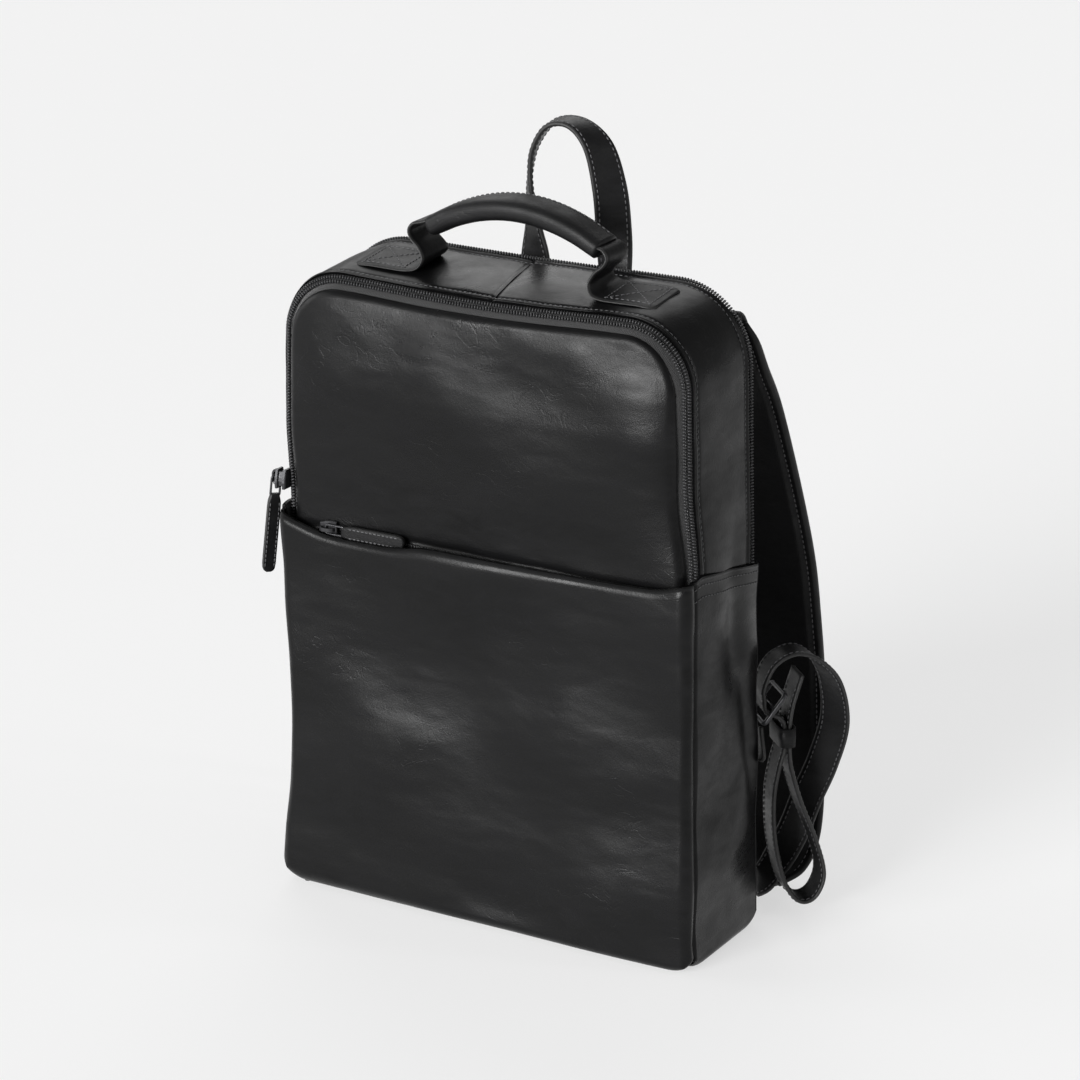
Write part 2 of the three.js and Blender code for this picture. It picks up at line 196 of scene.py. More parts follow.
def make_weave(name, base, thread_mm, rough=0.85, raised=0.25, sheen=0.25):
    """A woven cloth laid along the piece."""
    f = Finish(name, base, rough, Sheen_Weight=sheen, Sheen_Roughness=0.5)
    turn = math.pi / (thread_mm * MM)
    where = f.place((turn, turn, turn), along_piece=True)
    axes = f.node("SeparateXYZ", {0: where}).outputs
    warp, weft = f.math("SINE", axes[0]), f.math("SINE", axes[1])
    cross = f.math("MULTIPLY", warp, weft)
    lofty = f.span(f.clouds(f.place(), 90.0, 3.0), 0.3, 0.7)
    f.colour(f.blend(f.span(f.math("MULTIPLY_ADD", lofty, 0.5, cross), -1.0, 1.5),
                     tuple(c * 0.45 for c in base), tuple(c * 1.5 for c in base)))
    f.bump(cross, raised, 0.7)
    return f.material


def make_mesh_padding(name, base):
    """Spacer mesh: rows of round holes in a springy knit."""
    f = Finish(name, base, 0.9, Sheen_Weight=0.3, Sheen_Roughness=0.5)
    where = f.place(along_piece=True)
    holes = f.node("TexVoronoi", {"Vector": where, "Scale": 420.0, "Randomness": 0.12},
                   feature="F1").outputs["Distance"]
    rim_of_hole = f.span(holes, 0.22, 0.5)
    f.colour(f.blend(rim_of_hole, tuple(c * 0.25 for c in base), tuple(c * 1.5 for c in base)))
    f.bump(rim_of_hole, 0.5, 0.8)
    f.bump(f.clouds(f.place(), 900.0, 2.0), 0.1, 0.5)
    return f.material


def make_herringbone(name, base):
    """Zip tape: short slanted ribs that turn back on each other every few millimetres."""
    f = Finish(name, base, 0.75, Sheen_Weight=0.2)
    axes = f.node("SeparateXYZ", {0: f.place(along_piece=True)}).outputs
    fold = f.math("PINGPONG", axes[1], 1.6 * MM)
    slant = f.math("MULTIPLY_ADD", axes[0], 1.0, f.math("MULTIPLY", fold, 1.4))
    ribs = f.math("SINE", f.math("MULTIPLY", slant, 2 * math.pi / (1.05 * MM)))
    f.colour(f.blend(f.span(ribs, -1.0, 1.0), tuple(c * 0.5 for c in base),
                     tuple(c * 1.7 for c in base)))
    f.bump(ribs, 0.22, 0.8)
    return f.material


def make_floor_paint():
    f = Finish("floor_paint", (0.3, 0.3, 0.3), 1.0, Specular_IOR_Level=0.0,
               Emission_Color=(1, 1, 1, 1), Emission_Strength=0.6)
    f.colour(f.blend(f.clouds(f.place(), 3.0), (0.297, 0.297, 0.297), (0.303, 0.303, 0.303)))
    return f.material


def make_satin(name, base, rough, metallic=0.0):
    """Moulded or coated parts with faint handling marks."""
    scuff = 0.08
    f = Finish(name, base, rough, Metallic=metallic, Specular_IOR_Level=0.5)
    where = f.place()
    marks = f.clouds(where, 260.0, 4.0, 0.6)
    f.roughness(f.span(marks, 0.3, 0.7, rough - scuff, rough + scuff))
    f.colour(f.blend(f.span(f.clouds(where, 90.0, 2.0), 0.4, 0.7),
                     base, tuple(min(1, c * 1.5) for c in base)))
    f.bump(marks, 0.03, 0.4)
    return f.material


HIDE = make_leather("black_hide", (0.0011, 0.0011, 0.0012), (0.0052, 0.0052, 0.0055), 0.33,
                    crease=0.55)
STRAP_HIDE = make_leather("strap_hide", (0.003, 0.003, 0.0032), (0.0105, 0.0105, 0.011), 0.43,
                          grain=1.5, crease=0.7, dents=0.3)
EDGE = make_satin("painted_edge", (0.005, 0.005, 0.005), 0.6)
LINING = make_weave("lining_cloth", (0.02, 0.0205, 0.023), 0.5)
PAD_CLOTH = make_mesh_padding("spacer_mesh", (0.009, 0.009, 0.0095))
TAPE = make_herringbone("zip_tape", (0.0065, 0.0065, 0.0068))
COIL = make_satin("zip_coil", (0.017, 0.017, 0.018), 0.42)
METAL = make_satin("black_metal", (0.03, 0.03, 0.032), 0.33, 0.6)
THREAD = make_satin("waxed_thread", (0.042, 0.042, 0.044), 0.5)
BOARD = make_satin("fibre_board", (0.04, 0.037, 0.033), 0.8)


# ---------------------------------------------------------------- meshes
def unit(v):
    return v / np.maximum(np.linalg.norm(v, axis=-1, keepdims=True), 1e-9)


def bell(value, middle, width):
    """1 at the middle, falling away smoothly on both sides."""
    return np.exp(-((value - middle) / width) ** 2)


def quarter_round(share):
    """0 at share 0, rising like a rounded corner to nearly 1 at share 1."""
    return 1 - np.sqrt(1 - 0.99 * share ** 2)


def rolled_edge(gap, width):
    """0 at an edge, rising like a rounded edge to 1 a width in from it."""
    return np.sqrt(1 - (1 - np.minimum(gap / width, 1)) ** 2)


def plane(x, y, z):
    """A grid of points from numbers or arrays that spread over rows and columns."""
    return np.stack(np.broadcast_arrays(x, y, z), axis=-1)


def make_piece(name, points, faces, materials, face_material=None, uv=None, smooth=True):
    """points in millimetres; uv is one (u, v) in metres for each point."""
    mesh = bpy.data.meshes.new(name)
    mesh.from_pydata((np.asarray(points, float) * MM).tolist(), [], faces)
    for m in materials:
        mesh.materials.append(m)
    if face_material is not None:
        mesh.polygons.foreach_set("material_index", face_material)
    if uv is not None:
        layer = mesh.uv_layers.new(name="flow")
        corners = np.zeros(len(mesh.loops), int)
        mesh.loops.foreach_get("vertex_index", corners)
        layer.data.foreach_set("uv", np.asarray(uv, float)[corners].ravel())
    mesh.polygons.foreach_set("use_smooth", [smooth] * len(mesh.polygons))
    mesh.validate()
    mesh.update()
    piece = bpy.data.objects.new(name, mesh)
    bpy.context.collection.objects.link(piece)
    return piece


def grid_faces(rows, columns, start=0, flip=False):
    faces = []
    for i in range(rows - 1):
        for j in range(columns - 1):
            a = start + i * columns + j
            quad = (a, a + 1, a + columns + 1, a + columns)
            faces.append(quad[::-1] if flip else quad)
    return faces


def ring_faces(rings, count, closed=False):
    """Joins rings of count points. The ends are capped, or meet when closed is set."""
    faces = []
    for k in range(rings if closed else rings - 1):
        a, b = k * count, (k + 1) % rings * count
        for i in range(count):
            j = (i + 1) % count
            faces.append((a + i, a + j, b + j, b + i))
    if not closed:
        faces += [tuple(range(count))[::-1], tuple(range((rings - 1) * count, rings * count))]
    return faces


def grid_normals(grid):
    along, across = np.gradient(grid, axis=0), np.gradient(grid, axis=1)
    return unit(np.cross(along, across))


def grid_flow(grid):
    """Lengths along and across a sheet, in metres."""
    step_a = np.linalg.norm(np.diff(grid, axis=0), axis=2)
    step_b = np.linalg.norm(np.diff(grid, axis=1), axis=2)
    a = np.vstack([np.zeros(grid.shape[1]), np.cumsum(step_a, axis=0)])
    b = np.hstack([np.zeros((grid.shape[0], 1)), np.cumsum(step_b, axis=1)])
    return np.stack([a, b], axis=-1).reshape(-1, 2) * MM


def make_sheet(name, grid, thick, outer, inner=None, edge=None, flip=False, round_edge=0.4):
    """A sheet of some thickness whose outer face is grid[i][j], with a rounded edge all round.
    The outer face looks along grid_normals, or the other way when flip is set."""
    grid = np.asarray(grid, float)
    rows, columns = grid.shape[:2]
    normals = grid_normals(grid) * (-1 if flip else 1)
    inside = grid - normals * thick
    count = rows * columns
    points = [grid.reshape(-1, 3), inside.reshape(-1, 3)]
    faces = grid_faces(rows, columns, 0, flip) + grid_faces(rows, columns, count, not flip)
    ring = [(i, 0) for i in range(rows)] + [(rows - 1, j) for j in range(1, columns)]
    ring += [(i, columns - 1) for i in range(rows - 2, -1, -1)]
    ring += [(0, j) for j in range(columns - 2, 0, -1)]
    middle = []
    for i, j in ring:
        i_in, j_in = min(max(i, 1), rows - 2), min(max(j, 1), columns - 2)
        away = grid[i, j] - grid[i_in, j_in]
        away = away / max(np.linalg.norm(away), 1e-9)
        middle.append((grid[i, j] + inside[i, j]) / 2 + away * thick * round_edge)
    points.append(np.array(middle))
    wall = []
    size = len(ring)
    for k, (i, j) in enumerate(ring):
        n = (k + 1) % size
        a, b = i * columns + j, ring[n][0] * columns + ring[n][1]
        m, m2 = 2 * count + k, 2 * count + n
        for quad in ((a, b, m2, m), (m, m2, b + count, a + count)):
            wall.append(quad if flip else quad[::-1])
    flow = grid_flow(grid)
    uv = np.vstack([flow, flow, [flow[i * columns + j] for i, j in ring]])
    one_face = (rows - 1) * (columns - 1)
    kinds = [0] * one_face + [1] * one_face + [2] * len(wall)
    return make_piece(name, np.vstack(points), faces + wall,
                      [outer, inner or outer, edge or outer], kinds, uv)


def curve_through(rows, step):
    """A smooth run through rows of numbers, of which the first three are a place."""
    rows = np.asarray(rows, float)
    padded = np.vstack([2 * rows[0] - rows[1], rows, 2 * rows[-1] - rows[-2]])
    fine = []
    for i in range(1, len(padded) - 2):
        p0, p1, p2, p3 = padded[i - 1:i + 3]
        for t in np.linspace(0, 1, 24, endpoint=False):
            fine.append(0.5 * (2 * p1 + (p2 - p0) * t + (2 * p0 - 5 * p1 + 4 * p2 - p3) * t * t
                               + (3 * p1 - p0 - 3 * p2 + p3) * t ** 3))
    fine.append(rows[-1])
    return even_steps(np.array(fine), step)


def run_lengths(rows):
    """How far along a run each of its rows is."""
    return np.concatenate([[0], np.cumsum(np.linalg.norm(np.diff(rows[:, :3], axis=0), axis=1))])


def even_steps(rows, step):
    lengths = run_lengths(rows)
    count = max(2, int(round(lengths[-1] / step)) + 1)
    at = np.linspace(0, lengths[-1], count)
    return np.stack([np.interp(at, lengths, rows[:, k]) for k in range(rows.shape[1])], axis=1)


def strap_frames(rows):
    """Directions along, across and out of a strap whose rows are
    x, y, z, across x, across y, width, thickness."""
    along = unit(np.gradient(rows[:, :3], axis=0))
    across = np.stack([rows[:, 3], rows[:, 4], np.zeros(len(rows))], axis=1)
    across = unit(across - along * np.sum(across * along, axis=1, keepdims=True))
    return along, across, np.cross(along, across)


FLAT_SAMPLES = 9


def flat_section(bevel, samples=FLAT_SAMPLES):
    """A strap's cut edge-on: u and v from -1 to 1, going round from one edge of the top."""
    top = [(u, 1) for u in np.linspace(-1 + bevel / 8, 1 - bevel / 8, samples)]
    right = [(1, 1 - bevel), (1 + bevel / 14, 0), (1, -1 + bevel)]
    bottom = [(-u, -v) for u, v in top]
    left = [(-u, -v) for u, v in right]
    return np.array(top + right + bottom + left)


def swept(rows, section):
    """The points of a section carried along a strap's rows."""
    _, across, out = strap_frames(rows)
    return (rows[:, None, :3]
            + across[:, None, :] * (rows[:, 5:6] / 2 * section[:, 0])[..., None]
            + out[:, None, :] * (rows[:, 6:7] / 2 * section[:, 1])[..., None])


def make_strap(name, rows, section, face, edge=None, kinds_round=None):
    """kinds_round says of each side of the section whether it is face (0) or edge (1)."""
    count = len(section)
    if kinds_round is None:
        kinds_round = [0 if j < FLAT_SAMPLES - 1 or FLAT_SAMPLES + 2 < j < 2 * FLAT_SAMPLES + 2
                       else 1 for j in range(count)]
    uv = np.zeros((len(rows), count, 2))
    uv[:, :, 0] = run_lengths(rows)[:, None] * MM
    uv[:, :, 1] = rows[:, 5:6] / 2 * section[:, 0] * MM
    piece = make_piece(name, swept(rows, section).reshape(-1, 3), ring_faces(len(rows), count),
                       [face, edge or face], kinds_round * (len(rows) - 1) + [1, 1],
                       uv.reshape(-1, 2))
    turn_outwards(piece)
    return piece


def turn_outwards(piece):
    """Turns every face round if the closed shape is inside out."""
    mesh = piece.data
    mesh.calc_loop_triangles()
    place = np.zeros(len(mesh.vertices) * 3)
    mesh.vertices.foreach_get("co", place)
    place = place.reshape(-1, 3)
    corner = np.zeros(len(mesh.loop_triangles) * 3, int)
    mesh.loop_triangles.foreach_get("vertices", corner)
    a, b, c = (place[corner.reshape(-1, 3)[:, k]] for k in range(3))
    if np.sum(a * np.cross(b, c)) < 0:
        mesh.flip_normals()


# ---------------------------------------------------------------- stitches and zip teeth
def build_setting_tree():
    """Sets one small bead on each point, its length along "lay" and its top along "face"."""
    tree = bpy.data.node_groups.new("set_along_seam", "GeometryNodeTree")
    face = tree.interface
    face.new_socket("Geometry", in_out="INPUT", socket_type="NodeSocketGeometry")
    for name, value in (("Length", 0.003), ("Width", 0.0007), ("Height", 0.0005)):
        face.new_socket(name, in_out="INPUT", socket_type="NodeSocketFloat").default_value = value
    face.new_socket("Finish", in_out="INPUT", socket_type="NodeSocketMaterial")
    face.new_socket("Geometry", in_out="OUTPUT", socket_type="NodeSocketGeometry")
    made = {}

    def node(key, kind, **settings):
        made[key] = tree.nodes.new(kind)
        for setting, value in settings.items():
            setattr(made[key], setting, value)
        return made[key]

    node("in", "NodeGroupInput")
    node("out", "NodeGroupOutput")
    bead = node("bead", "GeometryNodeMeshUVSphere")
    bead.inputs["Segments"].default_value = 7
    bead.inputs["Rings"].default_value = 6
    bead.inputs["Radius"].default_value = 0.5
    node("sizes", "ShaderNodeCombineXYZ")
    node("smooth", "GeometryNodeSetShadeSmooth")
    for key in ("lay", "face"):
        named = node(key, "GeometryNodeInputNamedAttribute", data_type="FLOAT_VECTOR")
        named.inputs["Name"].default_value = key
    node("aim", "FunctionNodeAlignRotationToVector", axis="X")
    node("roll", "FunctionNodeAlignRotationToVector", axis="Z", pivot_axis="X")
    node("set", "GeometryNodeInstanceOnPoints")
    node("real", "GeometryNodeRealizeInstances")
    node("finish", "GeometryNodeSetMaterial")
    for start, out, end, into in (
            ("in", "Length", "sizes", "X"), ("in", "Width", "sizes", "Y"),
            ("in", "Height", "sizes", "Z"), ("bead", "Mesh", "smooth", "Geometry"),
            ("lay", "Attribute", "aim", "Vector"), ("aim", "Rotation", "roll", "Rotation"),
            ("face", "Attribute", "roll", "Vector"), ("in", "Geometry", "set", "Points"),
            ("smooth", "Geometry", "set", "Instance"), ("roll", "Rotation", "set", "Rotation"),
            ("sizes", "Vector", "set", "Scale"), ("set", "Instances", "real", "Geometry"),
            ("real", "Geometry", "finish", "Geometry"), ("in", "Finish", "finish", "Material"),
            ("finish", "Geometry", "out", "Geometry")):
        tree.links.new(made[start].outputs[out], made[end].inputs[into])
    return tree


SETTING = build_setting_tree()


def set_beads(name, places, lay, face, size_mm, finish):
    """One bead at each place, made into a plain mesh."""
    mesh = bpy.data.meshes.new(name + "_points")
    mesh.from_pydata((np.asarray(places) * MM).tolist(), [], [])
    for key, values in (("lay", lay), ("face", face)):
        attribute = mesh.attributes.new(key, "FLOAT_VECTOR", "POINT")
        attribute.data.foreach_set("vector", np.asarray(values, np.float32).ravel())
    source = bpy.data.objects.new(name + "_points", mesh)
    bpy.context.collection.objects.link(source)
    modifier = source.modifiers.new("beads", "NODES")
    modifier.node_group = SETTING
    ids = {i.name: i.identifier for i in SETTING.interface.items_tree if i.in_out == "INPUT"}
    for socket, value in zip(("Length", "Width", "Height"), size_mm):
        modifier[ids[socket]] = value * MM
    modifier[ids["Finish"]] = finish
    evaluated = source.evaluated_get(bpy.context.evaluated_depsgraph_get())
    plain = bpy.data.meshes.new_from_object(evaluated)
    plain.name = name
    source.modifiers.remove(modifier)
    bpy.data.objects.remove(source)
    if not plain.materials:
        plain.materials.append(finish)
    piece = bpy.data.objects.new(name, plain)
    bpy.context.collection.objects.link(piece)
    return piece


STITCH = (2.7, 0.8, 0.8)
seams = {}


def sew(body, line, face, pitch=3.6):
    """Marks a row of stitches along a line, to be made when all are known."""
    line, face = np.asarray(line, float), np.asarray(face, float)
    if face.ndim == 1:
        face = np.tile(face, (len(line), 1))
    rows = even_steps(np.hstack([line, face]), pitch)
    lay = unit(np.gradient(rows[:, :3], axis=0))
    seams.setdefault(body, []).append((rows[:, :3], lay, rows[:, 3:6]))


def make_stitches():
    for body, runs in seams.items():
        places, lay, face = (np.vstack([run[k] for run in runs]) for k in range(3))
        name = "stitches_" + (body if isinstance(body, str) else "_".join(body[:2]))
        piece = set_beads(name, places + face * 0.1, lay, face, STITCH, THREAD)
        hold(piece, body)


def hold(piece, body):
    """body is a name, to which the piece is attached; or two names and two points, which are not
    used, and the piece is only baked where it stands.
    """
    if isinstance(body, str):
        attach(piece, body)
    else:
        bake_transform(piece)


def sew_strap(body, rows, edge_gap, trim=2, rise=0.0):
    """A row of stitches along both edges of a strap, on both its faces."""
    _, across, out = strap_frames(rows)
    for side in (-1, 1):
        for way in (1, -1):
            line = (rows[:, :3] + across * (side * (rows[:, 5:6] / 2 - edge_gap))
                    + out * (way * (rows[:, 6:7] / 2 + rise)))
            sew(body, line[trim:-trim], (out * way)[trim:-trim])


# ---------------------------------------------------------------- the shell's form
TOP = 401.5             # the top edge, half way back
TOP_SLOPE = 0.1         # how fast the top rises towards the back
PANEL_Y = 40            # where the front and back panels begin
CORNER = 44             # radius of the upper corners
CORNER_GROWTH = 3       # how much rounder they are at the back than half way
HALF_WIDTH = 142.5      # at Z 200
TAPER = 0.03
RIM_STEPS = (34, 26, 44)


def ease(share):
    share = np.clip(share, 0, 1)
    return share * share * (3 - 2 * share)


def slump(grid):
    """The soft body leans a little to the left above its waist and is hollow at the lower left."""
    grid = np.array(grid, float)
    x, y, z = grid[..., 0], grid[..., 1], grid[..., 2]
    lean_by, hollow_by = 4.0, 8.5
    lean = -lean_by * ease((z - 245) / 60) * np.clip(0.5 - y / 80, 0, 1)
    hollow = (hollow_by * bell(z, 110, 105) * ease((246 - z) / 36)
              * np.clip(-x / 143, 0, 1) ** 3 * np.clip(0.65 - y / 65, 0, 1))
    grid[..., 0] = x + lean + hollow
    return grid


def half_width(z):
    return HALF_WIDTH * (1 + TAPER * (1 - np.asarray(z, float) / 200))


def top_height(x, y):
    sag = 3.0 * np.clip(1 - (x / 100) ** 2, 0, 1) ** 2 * (0.6 - 0.4 * y / 40)
    return TOP + TOP_SLOPE * y - sag


def ripple(points, size, depth, shift=0.0):
    """Slow uneven swell of soft leather, the same each time."""
    flat = np.asarray(points, float).reshape(-1, 3) / size
    swell = [noise.noise(Vector((x + shift, y + 0.7 * shift, z - shift))) for x, y, z in flat]
    return depth * np.array(swell).reshape(np.asarray(points).shape[:-1])


def side_hollow(y, z):
    """How far the side is pinched in below its seam."""
    z, y = np.asarray(z, float), np.asarray(y, float)
    pinch_depth, fold_depth = 4.2, 2.2
    pinch = pinch_depth * bell(y, 8, 13) * bell(z, 205, 42)
    fold = fold_depth * bell(y + 0.16 * (z - 120), 26, 8) * bell(z, 130, 50)
    return pinch + fold


def half_rim(side, y, inset, low, middle=0.0):
    """Half of the shell's outline at depth y, from low on one side to middle on the top.
    Returns places and outward directions in x and z."""
    radius = CORNER + CORNER_GROWTH * y / PANEL_Y
    corner_z = TOP + TOP_SLOPE * y - radius
    corner_x = half_width(corner_z) - radius
    z = np.linspace(low, corner_z, RIM_STEPS[0], endpoint=False)
    straight = np.stack([half_width(z) - inset - side_hollow(y, z), z], 1)
    angle = np.linspace(0, math.pi / 2, RIM_STEPS[1], endpoint=False)
    arc = np.stack([corner_x + (radius - inset) * np.cos(angle),
                    corner_z + (radius - inset) * np.sin(angle)], 1)
    x = np.linspace(corner_x, side * middle, RIM_STEPS[2])
    top = np.stack([x, top_height(x, y) - inset], 1)
    facing = np.vstack([np.tile([1, 0.02], (len(z), 1)),
                        np.stack([np.cos(angle), np.sin(angle)], 1),
                        np.tile([0, 1.0], (len(x), 1))])
    places = np.vstack([straight, arc, top])
    return places * [side, 1], facing * [side, 1]


def whole_rim(y, inset, low):
    left, left_facing = half_rim(-1, y, inset, low)
    right, right_facing = half_rim(1, y, inset, low)
    return (np.vstack([left, right[::-1][1:]]), np.vstack([left_facing, right_facing[::-1][1:]]))


def rim_lines(sections, low):
    """A grid over the whole rim, one column for each (inset, y) of a cross-section."""
    columns = []
    for inset, y in sections:
        places, _ = whole_rim(y, inset, low)
        columns.append(np.stack([places[:, 0], np.full(len(places), y), places[:, 1]], 1))
    return slump(np.stack(columns, axis=1))


# ---------------------------------------------------------------- gusset and side panels
def make_gusset():
    half_depth, seam_lean, low = 32, -0.17, 226
    depth = np.concatenate([np.linspace(-half_depth, -25, 10), np.linspace(-23, 23, 24),
                            np.linspace(25, half_depth, 10)])
    edge_gap = half_depth - np.abs(depth)
    # A raised edge beside each zip, and a groove where its stitches run.
    bead = 0.8 * bell(edge_gap, 1.5, 1.4) - 0.55 * bell(edge_gap, 4.6, 1.1)
    swell = 1.6 * (1 - (depth / 33) ** 2) + bead
    for name, side in SIDES:
        columns = []
        for y, out in zip(depth, swell):
            places, facing = half_rim(side, y, -out, low, seam_lean * y + side * 0.15)
            # The last few millimetres turn down into the centre seam.
            gap = np.abs(places[:, 0] - seam_lean * y)
            dip = np.where(places[:, 1] > 370, 0.7 * bell(gap, 0, 0.9), 0)
            places = places - facing * dip[:, None]
            columns.append(np.stack([places[:, 0], np.full(len(places), y), places[:, 1]], 1))
        grid = slump(np.stack(columns, axis=1))
        normals = grid_normals(grid)
        grid = grid + normals * (ripple(grid, 42, 0.9) + ripple(grid, 17, 0.25))[..., None]
        piece = make_sheet("gusset_leather_" + name, grid, 2.2, HIDE, LINING, flip=side > 0)
        hold(piece, "shell")
        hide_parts("gusset_" + name)
        facing_out = normals * (-1 if side > 0 else 1)
        for k in (6, len(depth) - 7):
            sew("shell", grid[8:, k] + facing_out[8:, k] * 0.1, facing_out[8:, k], 3.4)


def seam_height(y):
    """The side panel's hem: it falls towards the back and dips to the pocket in front."""
    return 242.6 - 0.19 * y - 4.0 * np.clip((-y - 30) / 11, 0, 1) ** 2


def make_side_panels():
    depth = np.concatenate([np.linspace(-40.7, -37, 8)[:-1], np.linspace(-37, 40, 54)])
    foot, foot_steps, front_lift, back_lift = 6, 9, 4.5, 8.0
    for name, side in SIDES:
        columns = []
        for y in depth:
            z_side = np.linspace(foot, seam_height(y), 100)
            angle = np.linspace(math.pi / 2, 0, foot_steps)[:-1]
            x_foot = half_width(0) - foot + foot * np.cos(angle)
            z_foot = foot - foot * np.sin(angle)
            swell = 2.4 * (1 - (y / 42) ** 2)
            grow = np.clip((z_side - foot) / 60, 0, 1)
            x_side = half_width(z_side) + (0.5 + swell) * grow
            x_side = x_side + 0.9 * np.clip((z_side - 190) / 40, 0, 1)
            tucked_in = 2.2 * np.clip((y + 38.5) / -2.2, 0, 1) ** 2
            x_side = x_side - tucked_in - side_hollow(y, z_side)
            x = np.concatenate([x_foot, x_side])
            z = np.concatenate([z_foot, z_side])
            end = np.clip((abs(y) - 26) / 15, 0, 1)
            lift = front_lift if y < 0 else back_lift
            z = z + lift * quarter_round(end) * np.clip(1 - z / 60, 0, 1)
            columns.append(np.stack([side * x, np.full(len(x), y), z], 1))
        grid = slump(np.stack(columns, axis=1))
        normals = grid_normals(grid)
        loose = np.clip(grid[..., 2] / 30, 0, 1)
        swell = ripple(grid, 46, 2.4, 3.0) + ripple(grid, 21, 0.5)
        grid = grid + normals * (loose * swell)[..., None]
        grid[..., 2] = np.maximum(grid[..., 2], 0.1)
        piece = make_sheet("side_leather_" + name, grid, 2.0, HIDE, LINING, flip=side > 0)
        hold(piece, "shell")
        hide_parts("side_panel_" + name)
        outward = grid_normals(grid) * (-1 if side > 0 else 1)
        for down in (2, 5):
            sew("shell", grid[-1 - down, 2:-2] + outward[-1 - down, 2:-2] * 0.1,
                outward[-1 - down, 2:-2], 3.4)


def make_base():
    half_x, half_y = half_width(0) - 5.5, 38
    x = np.linspace(-1, 1, 60)[:, None] * half_x
    y = np.linspace(-half_y, half_y, 24)[None, :]
    corner = (np.abs(x) / 141 * np.abs(y) / half_y) ** 5
    z = 0.25 + 0.25 * np.cos(x / 30) * np.cos(y / 14) + 5 * corner
    grid = np.stack([x * (1 - 0.08 * corner), y * (1 - 0.25 * corner), z], axis=-1)
    piece = make_sheet("base_leather", grid, 2.2, HIDE, LINING, flip=True)
    hold(piece, "shell")
    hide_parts("base_panel")
    board = make_sheet("base_board", plane(x * 0.985, y * 0.9, 4.9), 2, BOARD)
    hold(board, "shell")
    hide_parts("base_stiffener")


# ---------------------------------------------------------------- slip pocket
def mouth_height(x):
    """The slip pocket's lip: it rises at the ends and dips where the zip pull lies."""
    end_rise = 5.6 * np.exp(-(np.maximum(144 - np.abs(x), 0) / 13) ** 1.5)
    pull_dip = 4.0 * np.exp(-((x + 83) / 38) ** 4)
    return 240.2 + end_rise - 0.5 * np.cos(x / 40) - pull_dip


def make_pocket():
    wide, corner, front_y = 145.4, 8, -50.5
    angle = np.linspace(0.2, math.pi / 2, 13)
    left = [(-wide + corner - corner * math.cos(a), front_y + corner - corner * math.sin(a))
            for a in angle]
    across = [(x, front_y) for x in np.linspace(-wide + corner, wide - corner, 110)[1:-1]]
    right = [(-x, y) for x, y in left[::-1]]
    seam = [(-wide + 2.4, -40.4), (-wide + 1.5, -41.0), (-wide + 0.5, -42.4)]
    left, right = left[1:], right[:-1]
    plan = np.array(seam + left + across + right + [(-x, y) for x, y in seam[::-1]])
    rows = []
    along_x = (plan[:, 0] + wide) / (2 * wide)
    foot = 12.5 - 6.5 * along_x
    end_width = 17
    ends = np.clip((np.abs(plan[:, 0]) - wide + end_width) / end_width, 0, 1)
    ends[:3] = ends[-3:] = 1.0
    lifted = (9.5 - 4.0 * along_x) * quarter_round(ends)
    foot_steps, steps = 12, 96
    for step in range(steps):
        if step < foot_steps:
            turned = math.pi / 2 * (1 - step / foot_steps)
            rise, tuck = foot - foot * math.sin(turned), foot * (1 - math.cos(turned))
            z = 0.5 + rise
        else:
            tuck = np.zeros(len(foot))
            share = (step - foot_steps) / (steps - foot_steps - 1)
            z = (foot + 0.5) + share * (mouth_height(plan[:, 0]) - foot - 0.5)
        z = z + lifted * np.clip(1 - z / 60, 0, 1)
        flat = np.stack([plan[:, 0] - np.sign(plan[:, 0]) * tuck * np.minimum(ends, 1),
                         np.maximum(plan[:, 1], front_y + np.minimum(tuck, 9.5))], 1)
        narrow = half_width(z) / half_width(120)
        x = flat[:, 0] * narrow
        frontness = np.clip((-flat[:, 1] - 40) / 10.5, 0, 1)
        low_belly = 3.4 * bell(z, 70, 62) + 2.5 * along_x * bell(z, 0, 45)
        lip = 1.6 * bell(z, 238, 16) * np.clip(1 - (x / 135) ** 4, 0, 1)
        dish = 1.3 * bell(z, 165, 50)
        middle = np.clip(1.25 - (x / 140) ** 2, 0, 1)
        y = flat[:, 1] - frontness * (low_belly + lip - dish) * middle
        y = y + 1.9 * frontness * np.clip(1 - (mouth_height(plan[:, 0]) - z) / 3.2, 0, 1) ** 2
        rows.append(np.stack([x, y, z], 1))
    grid = slump(rows)
    normals = -grid_normals(grid)
    calm = np.clip(grid[..., 2] / 18, 0, 1)
    swell = ripple(grid, 80, 3.4, 1.3) + ripple(grid, 34, 0.8, 7.0)
    grid = grid + normals * (calm * swell)[..., None]
    grid[..., 2] = np.maximum(grid[..., 2], 0.2)
    piece = make_sheet("pocket_leather", grid, 2.2, HIDE, HIDE, flip=True, round_edge=0.55)
    hold(piece, "shell")
    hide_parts("front_pocket")


